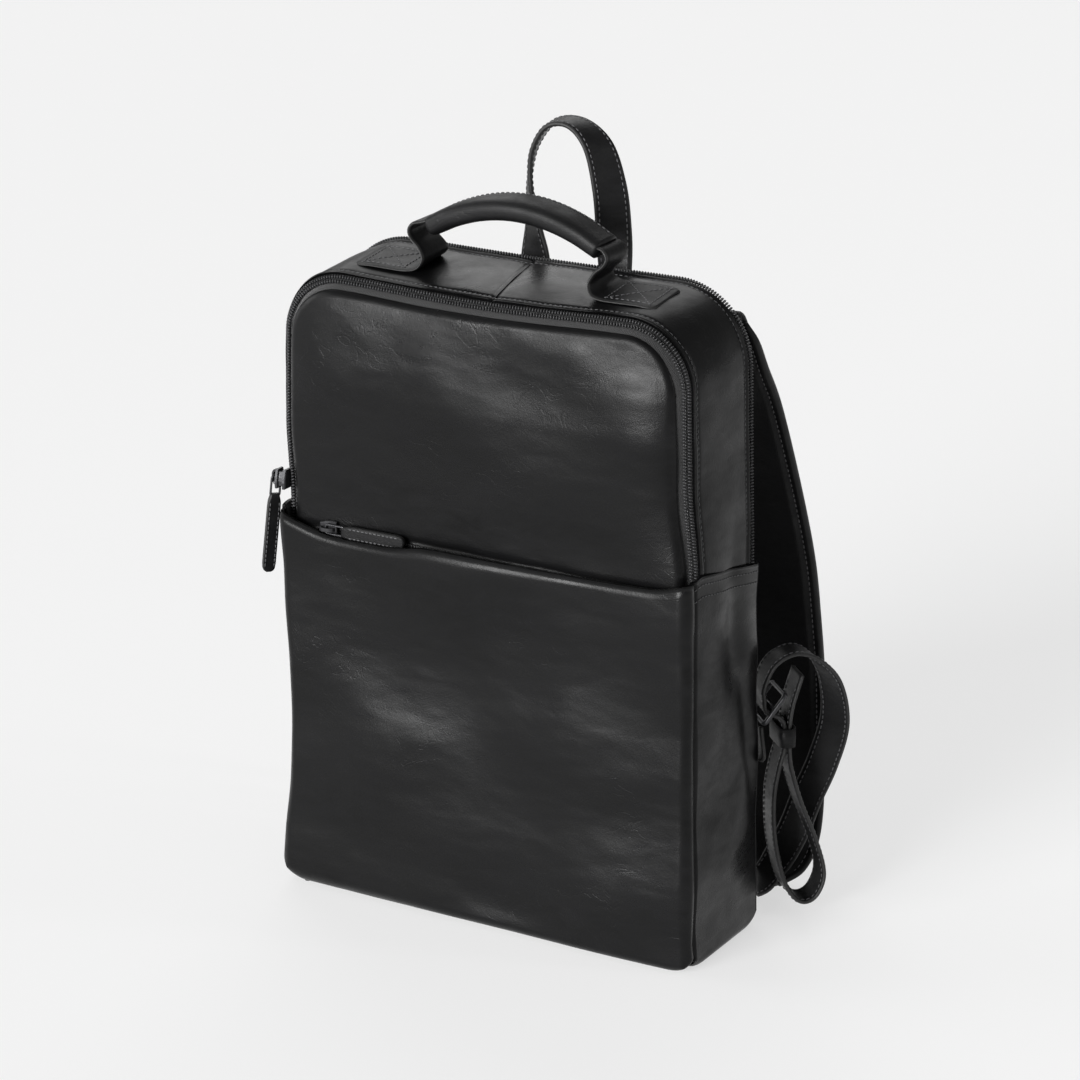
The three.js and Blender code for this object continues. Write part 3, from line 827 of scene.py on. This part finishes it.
def make_pocket_back():
    """The shell's lower front, behind the slip pocket, with the zipped pocket set in it."""
    tooth_size = (2.6, 1.4, 1.5)
    x = np.linspace(-130, 130, 60)[:, None]
    z = np.linspace(13, 241, 40)[None, :]
    y = -36.5 - 0.8 * np.cos(x / 90) * np.cos((z - 120) / 80)
    piece = make_sheet("lower_front_lining", plane(x, y, z), 1.6, LINING)
    hold(piece, "shell")
    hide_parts("front_lower_panel")
    z = np.linspace(230, 243.5, 6)[None, :]
    x = np.linspace(-119, 119, 60)[:, None]
    piece = make_sheet("pocket_tape", plane(x, -38.6, z), 0.8, TAPE)
    hold(piece, "shell")
    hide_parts("pocket_zip_tape")
    place = np.linspace(-116, 116, int(232 / TEETH_PITCH))
    beads = []
    for row, shift in ((1.1, 0.0), (-1.1, 0.95)):
        beads += [(along + shift, -38.9, 235.0 + row) for along in place]
    piece = set_beads("pocket_teeth", beads, np.tile([0, 0, 1.0], (len(beads), 1)),
                      np.tile([0, -1.0, 0], (len(beads), 1)), tooth_size, COIL)
    hold(piece, "shell")
    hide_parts("pocket_zip_coil")


# ---------------------------------------------------------------- zips round the shell
TEETH_PITCH = 1.9
TAPE_LOW, LINING_LOW = 236, 247
FRONT_FOLD = ("shell", "front_flap", (0, -0.042, 0.240), (0, -0.042, 0.251))
BACK_FOLD = ("shell", "back_flap", (0, 0.044, 0.240), (0, 0.044, 0.251))


def make_zips():
    tooth_size = (3.0, 1.15, 2.6)
    for name, way, fold in (("front", -1, FRONT_FOLD), ("back", 1, BACK_FOLD)):
        def across(share, rise=0.0):
            """(inset, y) part of the way from the gusset to the panel."""
            if way > 0:
                return 10.4 * share ** 1.6 - 0.9 - 0.9 * rise, 31.4 + 9.0 * share + 0.3 * rise
            return 1.0 + 10.4 * share - 0.6 * rise, -31.6 - 8.6 * share - 0.8 * rise

        outer = rim_lines([across(s, -1.3) for s in np.linspace(0.0, 0.27, 5)], TAPE_LOW)
        piece = make_sheet(name + "_outer_tape", outer, 0.8, TAPE, flip=way < 0)
        hold(piece, "shell")
        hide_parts(name + "_zip_tape_outer")
        inner = rim_lines([across(s, -0.9 - 0.5 * (s < 0.4))
                           for s in np.linspace(0.32, 1.08, 10)], TAPE_LOW)
        piece = make_sheet(name + "_inner_tape", inner, 0.8, TAPE, flip=way < 0)
        hold(piece, fold)
        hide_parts(name + "_zip_tape_inner")
        for row, share, body, low, shift in (("outer", 0.125, "shell", 238, 0.0),
                                             ("inner", 0.345, name + "_flap", 246, 0.5)):
            line = rim_lines([across(share, 0.8), across(share + 0.05, 0.8),
                              across(share, 1.8)], low)
            path = even_steps(line.reshape(len(line), -1), TEETH_PITCH)
            if shift:
                path = (path[:-1] + path[1:]) / 2
            lay = unit(path[:, 3:6] - path[:, 0:3])
            face = unit(path[:, 6:9] - path[:, 0:3])
            piece = set_beads(name + "_teeth_" + row, path[:, :3], lay, face, tooth_size, COIL)
            hold(piece, body)
            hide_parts(name + "_zip_coil_" + row)


# ---------------------------------------------------------------- front and back flaps
def flap_grid(way, low, inset, edge_y, roll, dome, reach=20, columns=130, rows=84):
    """A crowned panel inside the zip, rolled over at its edge: way is -1 in front, 1 behind."""
    radius = CORNER + CORNER_GROWTH * way - inset
    rim_top = TOP + TOP_SLOPE * PANEL_Y * way
    top = rim_top - inset
    s = np.linspace(-1, 1, columns)
    grid = np.zeros((rows, columns, 3))
    for j, share in enumerate(s):
        edge_x = half_width(320) - inset
        x = edge_x * math.sin(math.pi / 2 * share)
        over = max(0.0, abs(x) - (edge_x - radius))
        high = top - (radius - math.sqrt(max(radius ** 2 - over ** 2, 0)))
        high -= rim_top - float(top_height(x, PANEL_Y * way))
        t = np.sin(np.linspace(0, math.pi / 2, rows)) ** 0.9
        z = low + t * (high - low)
        wide = (half_width(z) - inset) / edge_x
        gap_side = (edge_x - abs(x)) * np.ones(rows)
        corner_z = top - radius
        near = np.hypot(over, np.maximum(z - corner_z, 0))
        gap = np.where((over > 0) & (z > corner_z), radius - near, np.minimum(gap_side, high - z))
        gap = np.maximum(gap, 0)
        rolled = roll * rolled_edge(gap, 4.6)
        to_right = 0.5 + 0.5 * x / edge_x
        crowned = (dome * (0.32 + 0.97 * to_right)
                   * (1 - np.exp(-(high - z) / (reach * (0.25 + 0.86 * to_right)))))
        crowned = crowned * (1 - np.exp(-(edge_x - abs(x)) / 11))
        crowned = crowned * np.clip((z - low + 12) / 105, 0, 1)
        turned = 1.8 * np.clip(1 - (z - low) / 3.5, 0, 1) ** 2 * (way < 0)
        grid[:, j] = np.stack([x * wide, way * (edge_y + rolled + crowned - turned), z], 1)
    return slump(grid)


def make_front_flap():
    grid = flap_grid(-1, 236.0, inset=8.1, edge_y=37.3, roll=3.2, dome=10.5, reach=52)
    normals = -grid_normals(grid)
    swell = ripple(grid, 70, 2.2, 5.0) + ripple(grid, 30, 0.45, 2.0)
    top_ease = np.clip((397 - grid[..., 2]) / 25, 0.2, 1)
    grid = grid + normals * (swell * top_ease)[..., None]
    piece = make_sheet("front_flap_leather", grid, 2.0, HIDE, HIDE, flip=True)
    hold(piece, FRONT_FOLD)
    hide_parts("front_flap_panel")
    inner = flap_grid(-1, LINING_LOW, inset=14, edge_y=38.2, roll=0.4, dome=1.6,
                      columns=50, rows=40)
    piece = make_sheet("front_flap_lining_cloth", inner, 0.7, LINING, flip=True)
    hold(piece, "front_flap")
    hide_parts("front_flap_lining")


def make_back():
    """Padded back: mesh cushions each side of a spine channel, with grooves across them and along
    each side.
    """
    def channels(grid):
        x, z = grid[..., 0], grid[..., 2]
        rows = sum(bell(z, level, 3.5) for level in (70, 130, 190, 290, 340))
        border = bell(np.abs(x), 118, 3.2)
        return 2.6 * np.clip(bell(x, 0, 5) + rows * (np.abs(x) < 118) + border, 0, 1)

    upper = flap_grid(1, 246.5, inset=11.6, edge_y=40.2, roll=2.4, dome=4.6)
    upper = upper + grid_normals(upper) * -channels(upper)[..., None]
    piece = make_sheet("back_pad_upper", upper, 3.0, PAD_CLOTH, LINING)
    hold(piece, "back_flap")
    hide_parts("back_panel_upper")
    x = np.linspace(-1, 1, 110)[None, :]
    z = np.linspace(3.5, 241.5, 110)[:, None]
    wide = half_width(z) - 3.5 - 12 * quarter_round(np.clip((20 - z) / 17, 0, 1))
    from_edge = np.minimum(wide * (1 - np.abs(x)), np.minimum(z - 3.5, 241.5 - z + 6))
    y = 39.6 + 2.6 * rolled_edge(from_edge, 4) + 4.4 * (1 - np.exp(-from_edge / 18))
    lower = plane(x * wide, y, z)
    lower = lower + grid_normals(lower) * -channels(lower)[..., None]
    piece = make_sheet("back_pad_lower", lower, 3.0, PAD_CLOTH, LINING)
    hold(piece, "shell")
    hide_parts("back_panel_lower", "back_liner_lower")
    z = np.linspace(238, 250, 12)[:, None]
    x = np.linspace(-131, 131, 60)[None, :]
    piece = make_sheet("back_fold", plane(x, 43.2 + 1.2 * np.cos((z - 244) / 3), z), 1.4, HIDE)
    hold(piece, BACK_FOLD)
    inner = flap_grid(1, LINING_LOW, inset=14, edge_y=37.9, roll=0.3, dome=0.4, columns=50, rows=40)
    piece = make_sheet("back_flap_lining_cloth", inner, 0.7, LINING)
    hold(piece, "back_flap")
    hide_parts("back_liner_upper")


def make_inside():
    grid = flap_grid(-1, 6, inset=7, edge_y=19.5, roll=0.2, dome=1.2, columns=60, rows=70)
    piece = make_sheet("divider_cloth", grid, 1.2, LINING, flip=True)
    hold(piece, "shell")
    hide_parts("compartment_divider")
    x = np.linspace(-1, 1, 60)[None, :]
    z = np.linspace(6, 262, 60)[:, None]
    from_edge = np.minimum(131 * (1 - np.abs(x)), np.minimum(z - 6, 262 - z))
    y = 23 - 1.4 * (1 - np.exp(-from_edge / 8))
    piece = make_sheet("sleeve_pad", plane(131 * x, y, z), 2.6, LINING, flip=True)
    hold(piece, "shell")
    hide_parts("laptop_sleeve")


# ---------------------------------------------------------------- carry handle
def mirrored(rows, side):
    rows = np.array(rows, float)
    rows[:, 0] *= side
    rows[:, 3] *= side
    return rows


def make_handle():
    bend = ("shell", "handle", (0, 0, 0.410), (0, 0, 0.4245))
    for name, side in SIDES:
        tab = mirrored([
            [102, -1, 402.2, 0, 1, 30, 1.8], [98, -1, 402.9, 0, 1, 35, 1.8],
            [90, -1, 403.5, 0, 1, 36, 1.8], [78, -1, 403.3, 0, 1, 36, 1.8],
            [67, -1, 403.2, 0, 1, 35, 1.8], [60, -0.5, 404.6, 0, 1, 33, 2.0],
            [56.6, 0, 409.4, 0, 1, 30, 2.2], [59.8, 0, 415.2, 0, 1, 28, 2.2],
            [65.2, 0, 419.8, 0, 1, 27, 2.2], [67.4, 0, 424.6, 0, 1, 26, 2.2],
            [64.6, 0, 429.0, 0, 1, 25, 2.2], [59.0, 0, 430.4, 0, 1, 22, 2.2],
            [52, 0, 433.0, 0, 1, 18, 2.2],
        ], side)
        rows = curve_through(tab, 1.3)
        piece = make_strap("handle_tab_leather_" + name, rows, flat_section(0.6), STRAP_HIDE, EDGE)
        for v in piece.data.vertices:
            v.co.z += TOP_SLOPE * v.co.y * min(1, max(0, (0.416 - v.co.z) / 0.01))
        hold(piece, bend)
        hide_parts("handle_patch_" + name, "handle_tab_" + name)
        # The box of stitches, with a cross in it, that holds the tab down.
        x0, x1, y0, y1 = 69.0, 97.5, -15.0, 13.0
        box = [(x0, y0), (x1, y0), (x1, y1), (x0, y1), (x0, y0), (x1, y1)]
        for (ax, ay), (bx, by) in list(zip(box[:-1], box[1:])) + [((x0, y1), (x1, y0))]:
            line = np.linspace((side * ax, ay, 0), (side * bx, by, 0), 12)
            line[:, 2] = TOP_SLOPE * line[:, 1] + np.interp(
                np.abs(line[:, 0]), [67, 78, 90, 98], [404.1, 404.2, 404.4, 403.8])
            sew(bend, line, (0, 0, 1), 3.4)
    reach = np.linspace(-1, 1, 9)
    grip = [[2.5 + 57 * t, 0, 444.5 - 16.5 * t * t, 0, 1, 27 - 1.5 * abs(t), 14.5 - 1.8 * t * t]
            for t in reach]
    rows = curve_through(grip, 1.6)
    angle = np.linspace(0, 2 * math.pi, 33)[:-1]
    section = np.stack([np.sign(np.cos(angle)) * np.abs(np.cos(angle)) ** 0.62,
                        np.sign(np.sin(angle)) * np.abs(np.sin(angle)) ** 0.8], 1)
    piece = make_strap("grip_leather", rows, section, STRAP_HIDE, STRAP_HIDE)
    hold(piece, "handle")
    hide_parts("handle_grip", "handle_core")
    # One row of stitches along the rear of the top, where the wrap's edge laps over.
    _, across, out = strap_frames(rows)
    line = rows[:, :3] + across * (rows[:, 5:6] / 2 * 0.52) + out * (rows[:, 6:7] / 2 * 0.965)
    sew("handle", line[3:-3], out[3:-3], 3.6)


# ---------------------------------------------------------------- hanging loop
def make_hang_loop():
    def leg(x, z, degrees, y=48.5):
        turn = math.radians(degrees)
        return [x, y, z, math.cos(turn), math.sin(turn), 21, 2.8]

    rows = curve_through([
        leg(-15, 378, 180, 47.8), leg(-15, 392, 178, 48.0), leg(-14.8, 403, 170),
        leg(-16, 422, 142), leg(-18.5, 446, 123), leg(-15.5, 468, 110), leg(-4, 484.5, 100),
        leg(13, 487, 87),
        leg(28, 474.5, 64), leg(36, 450, 46), leg(39, 424, 30), leg(40, 403, 8),
        leg(40, 392, 2, 48.0), leg(40, 378, 0, 47.8)], 1.6)
    bend = ("back_flap", "hang_loop", (0, 0.0485, 0.397), (0, 0.0485, 0.410))
    piece = make_strap("hang_loop_leather", rows, flat_section(0.5), STRAP_HIDE, EDGE)
    hold(piece, bend)
    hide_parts("hang_loop")
    sew_strap(bend, rows, 2.4)
    x = np.linspace(-31, 56, 30)[None, :]
    z = np.linspace(373, 391, 9)[:, None]
    piece = make_sheet("hang_loop_patch_leather", plane(x, 50.4, z), 1.4, STRAP_HIDE, edge=EDGE)
    hold(piece, "back_flap")
    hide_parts("hang_loop_patch")
    for z_line in (375.5, 388.5):
        sew("back_flap", np.linspace((-29, 50.5, z_line), (54, 50.5, z_line), 30), (0, 1, 0), 3.4)


# ---------------------------------------------------------------- shoulder straps
PAD_ROWS = [
    [98.6, 58.5, 375, 1, 0, 52, 6], [99.8, 65, 362, 1, 0, 59, 9.5],
    [101.3, 73, 345, 1, 0, 60, 10.5], [104.5, 86, 318, 1, 0, 60, 10.5],
    [109, 103, 268, 1, 0, 60, 10.5],
    [114.8, 114.8, 215.5, 1, 0, 60, 10.5], [118, 119, 175, 1, 0, 60, 10.5],
    [120, 122.5, 134, 1, 0, 60, 10.5], [121.5, 122.5, 80, 1, 0, 60, 10.5],
    [122, 119, 34, 1, 0, 59, 9.5], [122, 107, 12.5, 1, 0, 52, 7.5], [122, 88, 6.4, 1, 0, 36, 5],
]


def make_shoulder_straps():
    for name, side in SIDES:
        knee = ("strap_upper_" + name, "strap_lower_" + name,
                (side * 0.112, 0.111, 0.241), (side * 0.1175, 0.119, 0.190))
        rows = curve_through(mirrored(PAD_ROWS, side), 2.6)
        angle = np.linspace(0, 2 * math.pi, 45)[:-1]
        u = np.sign(np.cos(angle)) * np.abs(np.cos(angle)) ** 0.42
        v = np.sign(np.sin(angle)) * np.abs(np.sin(angle)) ** 0.75
        # A stitched channel 4 mm in from each edge, and the cover's seam.
        pinch = 1 - 0.45 * bell(np.abs(u), 0.86, 0.05) - 0.22 * bell(u, -0.15 * side, 0.06)
        piece = make_strap("strap_pad_" + name, rows, np.stack([u, v * pinch], 1), STRAP_HIDE,
                           PAD_CLOTH, kinds_round=[0 if w * side > -0.3 else 1 for w in v])
        hold(piece, knee)
        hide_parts("strap_pad_upper_" + name, "strap_pad_lower_" + name)
        sew_strap(knee, rows, 4.2, rise=-1.9)
        root = mirrored([[97, 48.6, 356, 1, 0, 60, 3], [97, 48.6, 370, 1, 0, 58, 3],
                         [97, 49.6, 379, 1, 0, 54, 3], [97, 53.0, 383.0, 1, 0, 52, 3],
                         [97.5, 57.4, 380.5, 1, 0, 50, 3], [98.5, 61.5, 372.0, 1, 0, 50, 3],
                         [99.5, 66.8, 361, 1, 0, 50, 3]], side)
        rows = curve_through(root, 1.8)
        piece = make_strap("strap_root_" + name, rows, flat_section(0.5), STRAP_HIDE, EDGE)
        hold(piece, ("strap_yoke_" + name, "strap_upper_" + name, (side * 0.098, 0.050, 0.385),
                     (side * 0.098, 0.060, 0.385)))
        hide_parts("strap_yoke_" + name)


TIE = (151.5, 61.5)
DIAGONAL = math.sqrt(0.5)


def tied(u, z, w=0.0, turn=0.0):
    """A place on the tied strap: u runs outwards along its upright plane, and w across it."""
    angle = -math.pi / 4 + math.radians(turn)
    return [TIE[0] + DIAGONAL * (u + w), TIE[1] + DIAGONAL * (u - w), z,
            math.cos(angle), math.sin(angle), 19.5, 2.3]


TIED_STRAP = [
    [124, 86, 8.6, 0.9, -0.3, 19, 2.3], [128, 76.5, 11, 0.7, -0.7, 19.5, 2.3],
    tied(-3, 17, -20, 34), tied(6, 29, -20, 52), tied(15, 48, -18, 64), tied(23, 70, -17, 66),
    tied(31, 92, -14, 60), tied(36, 122, -7, 46), tied(31, 150, -2, 30), tied(20, 167, 0, 12),
    tied(6, 174), tied(-8, 168), tied(-15, 154), tied(-14.9, 146), tied(-14.3, 140.4),
    tied(-12.2, 136.9), tied(-8.6, 135.6), tied(-4.4, 133.2), tied(-1.9, 128.5), tied(-1.7, 121),
    tied(-1.7, 112), tied(-4.5, 101), tied(-7.4, 82), tied(-6.5, 55), tied(-1, 29), tied(6, 14.5),
    tied(14, 9.5), tied(22, 14), tied(26, 28), tied(20, 51), tied(9.5, 78), tied(3.2, 100),
    tied(1.7, 112), tied(1.7, 121), tied(1.7, 130), tied(3.6, 142), tied(9, 160),
]


def turned_place(points, u, z, lean, side):
    """Puts points made round the origin on the tied strap: x across it, y outwards along it."""
    p = np.array(points, float)
    lean = math.radians(lean)
    y = p[:, 1] * math.cos(lean) + p[:, 2] * math.sin(lean)
    z_new = -p[:, 1] * math.sin(lean) + p[:, 2] * math.cos(lean)
    x_world = TIE[0] + DIAGONAL * (u + y + p[:, 0])
    y_world = TIE[1] + DIAGONAL * (u + y - p[:, 0])
    return np.stack([side * x_world, y_world, z + z_new], 1)


def ring_points(width, height, depth, wall, corner):
    """Closed rounded frame: outlines inner and outer, front and back."""
    per_corner = 6

    def outline(w, h, r):
        points = []
        for k, (sx, sz) in enumerate(((1, 1), (-1, 1), (-1, -1), (1, -1))):
            for i in range(per_corner):
                a = math.pi / 2 * (k + i / (per_corner - 1))
                points.append((sx * (w - r) + r * math.cos(a), sz * (h - r) + r * math.sin(a)))
        return points

    outer = outline(width / 2, height / 2, corner)
    inner = outline(width / 2 - wall, height / 2 - wall, max(corner - wall, 0.4))
    mid_out = outline(width / 2 + 0.12 * wall, height / 2 + 0.12 * wall, corner)
    mid_in = outline(width / 2 - 1.12 * wall, height / 2 - 1.12 * wall, max(corner - wall, 0.4))
    loops = [(outer, -depth / 2), (mid_out, 0), (outer, depth / 2), (inner, depth / 2), (mid_in, 0),
             (inner, -depth / 2)]
    points = [(x, y, z) for loop, y in loops for x, z in loop]
    return points, ring_faces(len(loops), len(outer), closed=True)


def rod_points(start, end, radius):
    """A round rod with eased ends."""
    sides = 12
    start, end = np.array(start, float), np.array(end, float)
    axis = unit(end - start)
    side = unit(np.cross(axis, [0.3, 0.5, 0.81]))
    up = np.cross(axis, side)
    points = []
    for centre, r in ((start, radius * 0.7), (start + axis * radius * 0.3, radius),
                      (end - axis * radius * 0.3, radius), (end, radius * 0.7)):
        for i in range(sides):
            a = 2 * math.pi * i / sides
            points.append(centre + r * (side * math.cos(a) + up * math.sin(a)))
    return points, ring_faces(4, sides)


def gathered(*shapes):
    """Several (points, faces) as one."""
    points, faces = [], []
    for p, f in shapes:
        start = len(points)
        points += [tuple(q) for q in p]
        faces += [tuple(i + start for i in face) for face in f]
    return points, faces


def make_ties():
    for name, side in SIDES:
        body = "strap_lower_" + name
        rows = curve_through(mirrored(TIED_STRAP, side), 2.0)
        piece = make_strap("tied_strap_" + name, rows, flat_section(0.5), STRAP_HIDE, EDGE)
        hold(piece, body)
        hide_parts("strap_riser_" + name, "strap_tail_" + name)
        sew_strap(body, rows, 2.2, trim=5)
        points, faces = gathered(ring_points(28, 24, 2.4, 2.4, 4),
                                 rod_points((-12.2, 0, 0), (12.2, 0, 0), 1.3))
        points = turned_place(points, -9.5, 141, 37, side)
        piece = make_piece("buckle_frame_" + name, points, faces, [METAL])
        turn_outwards(piece)
        hold(piece, "buckle_" + name)
        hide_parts("strap_buckle_" + name)
        loop = []
        sides = 40
        for k in range(sides):
            a = 2 * math.pi * k / sides
            x = 12.4 * np.sign(math.cos(a)) * abs(math.cos(a)) ** 0.35
            y = 4.6 * np.sign(math.sin(a)) * abs(math.sin(a)) ** 0.6
            loop.append((x, y))
        loop = np.array(loop)
        outward = unit(np.stack([loop[:, 0] / 12.2 ** 2, loop[:, 1] / 4.3 ** 2], 1))
        profile = [(0, -6), (0.8, -6), (0.95, 0), (0.8, 6),
                   (0, 6), (-0.8, 6), (-0.95, 0), (-0.8, -6)]
        points = [(*(loop[i] + outward[i] * push), height)
                  for push, height in profile for i in range(sides)]
        piece = make_piece("keeper_leather_" + name, turned_place(points, 0, 121, 0, side),
                           ring_faces(len(profile), sides, closed=True), [STRAP_HIDE])
        turn_outwards(piece)
        hold(piece, "keeper_" + name)
        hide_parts("strap_keeper_" + name)
        anchor = mirrored([[142.8, 43.6, 107, 0.7, -0.7, 16, 2.2],
                           [143.2, 45.2, 110, 0.7, -0.7, 22, 2.2],
                           [142.4, 46.9, 117, 0.7, -0.7, 20, 2.2],
                           [140.2, 48.8, 127, 0.7, -0.7, 19.5, 2.2]], side)
        piece = make_strap("anchor_leather_" + name, curve_through(anchor, 1.6), flat_section(0.5),
                           STRAP_HIDE, EDGE)
        hold(piece, "shell")
        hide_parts("strap_anchor_" + name)


# ---------------------------------------------------------------- zip sliders and pulls
def slider_shape():
    """Body, waist and bridge, facing -Y with the chain along Z."""
    outline = [(-4.6, -6.0), (4.6, -6.0), (4.9, -2.0), (4.4, 1.0), (3.0, 6.0), (-3.0, 6.0),
               (-4.4, 1.0), (-4.9, -2.0)]
    layers = [(0.86, 1.2), (1.0, 1.7), (1.0, 3.2), (0.72, 3.8), (0.72, 6.4), (1.0, 6.9), (1.0, 8.6),
              (0.86, 9.1)]
    points = [(x * scale, y, z * scale) for scale, y in layers for x, z in outline]
    arch = [[0, y, z, 1, 0, 2.4, 1.1] for y, z in (
        (1.6, -4.6), (-0.6, -4.4), (-1.9, -2.8), (-2.2, 0), (-1.9, 2.8), (-0.6, 4.4), (1.6, 4.6))]
    rows = curve_through(arch, 0.8)
    section = flat_section(0.6, samples=3)
    return gathered((points, ring_faces(len(layers), len(outline))),
                    (swept(rows, section).reshape(-1, 3), ring_faces(len(rows), len(section))))


def wire_ring(width, low, high, radius):
    """A rounded oblong of round wire, in the plane of x and z."""
    corners, sides, r = [], 10, 1.6
    for k, (sx, z_mid) in enumerate(((1, high - r), (-1, high - r), (-1, low + r), (1, low + r))):
        for i in range(5):
            a = math.pi / 2 * (k + i / 4)
            corners.append((sx * (width / 2 - r) + r * math.cos(a), 0.0, z_mid + r * math.sin(a)))
    corners = np.array(corners)
    count = len(corners)
    depth = np.array([0, 1, 0])
    points = []
    for i in range(count):
        side = np.cross(unit(corners[(i + 1) % count] - corners[i - 1]), depth)
        for k in range(sides):
            a = 2 * math.pi * k / sides
            points.append(corners[i] + radius * (side * math.cos(a) + depth * math.sin(a)))
    return points, ring_faces(count, sides, closed=True)


def make_zip_pull(name, place, turn, length, lay=0, pull_turn=None, lean=0):
    """A slider with its ring and leather pull. In degrees, turn faces them round Z, lay turns
    them in the zip's own plane, and the pull may face its own way and lean out."""
    def put(points, turn=turn, lean=0):
        p = np.array(points, float)
        b = math.radians(lay)
        p = np.stack([p[:, 0] * math.cos(b) + p[:, 2] * math.sin(b), p[:, 1],
                      -p[:, 0] * math.sin(b) + p[:, 2] * math.cos(b)], 1)
        a = math.radians(turn)
        p = np.stack([p[:, 0] * math.cos(a) - p[:, 1] * math.sin(a),
                      p[:, 0] * math.sin(a) + p[:, 1] * math.cos(a), p[:, 2]], 1)
        c = math.radians(lean)
        p = np.stack([p[:, 0] * math.cos(c) + p[:, 2] * math.sin(c), p[:, 1],
                      -p[:, 0] * math.sin(c) + p[:, 2] * math.cos(c)], 1)
        return p + place

    def put_pull(points):
        return put(points, turn if pull_turn is None else pull_turn, lean)

    points, faces = slider_shape()
    piece = make_piece(name + "_slider_body", put(points), faces, [METAL], smooth=False)
    hold(piece, name + "_slider")
    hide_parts(name + "_slider")
    points, faces = wire_ring(5.8, -12.8, 0.6, 0.75)
    piece = make_piece(name + "_pull_ring", put_pull(points), faces, [METAL])
    turn_outwards(piece)
    hold(piece, name + "_pull")
    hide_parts(name + "_pull_link")
    low = -13.4 - length
    rows = np.array([[0, 0, -11.2, 1, 0, 5.2, 3.0], [0, 0, -13.2, 1, 0, 6.2, 3.9],
                     [0, 0, -16, 1, 0, 7.8, 3.8], [0, 0, -20, 1, 0, 8.4, 3.4],
                     [0, 0, low + 6, 1, 0, 8.4, 3.4], [0, 0, low + 2.4, 1, 0, 7.6, 3.3],
                     [0, 0, low + 0.6, 1, 0, 5.4, 3.0], [0, 0, low, 1, 0, 3.0, 2.4]], float)
    rows = even_steps(rows, 0.9)
    piece = make_strap(name + "_pull_leather", rows, flat_section(0.5), STRAP_HIDE, EDGE)
    mesh = piece.data
    flat = np.zeros(len(mesh.vertices) * 3)
    mesh.vertices.foreach_get("co", flat)
    mesh.vertices.foreach_set("co", (put_pull(flat.reshape(-1, 3) / MM) * MM).ravel())
    mesh.update()
    turn_outwards(piece)
    hold(piece, name + "_pull")
    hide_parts(name + "_pull_tab")
    for way in (1, -1):
        for side in (-1, 1):
            line = np.linspace((side * 2.9, way * 1.75, -18), (side * 2.9, way * 1.75, low + 5), 12)
            face = put_pull([(0, way, 0)]) - put_pull([(0, 0, 0)])
            sew(name + "_pull", put_pull(line), face[0], 3.0)


# ---------------------------------------------------------------- assembly
set_camera()
set_studio()
FLOOR = 60000
corners = [(FLOOR * x, FLOOR * y, 0) for x, y in ((-1, -1), (1, -1), (1, 1), (-1, 1))]
floor = make_piece("floor", corners, [(0, 1, 2, 3)], [make_floor_paint()], smooth=False)
make_gusset()
make_side_panels()
make_base()
make_pocket()
make_pocket_back()
make_zips()
make_front_flap()
make_back()
make_inside()
make_handle()
make_hang_loop()
make_shoulder_straps()
make_ties()
make_zip_pull("front", (-149.5, -36.5, 264), -90, 50, pull_turn=-130, lean=7)
make_zip_pull("back", (-149.5, 36.5, 252), -90, 50, pull_turn=-112, lean=4)
make_zip_pull("pocket", (-108, -45, 239.5), 0, 42, -90)
make_stitches()
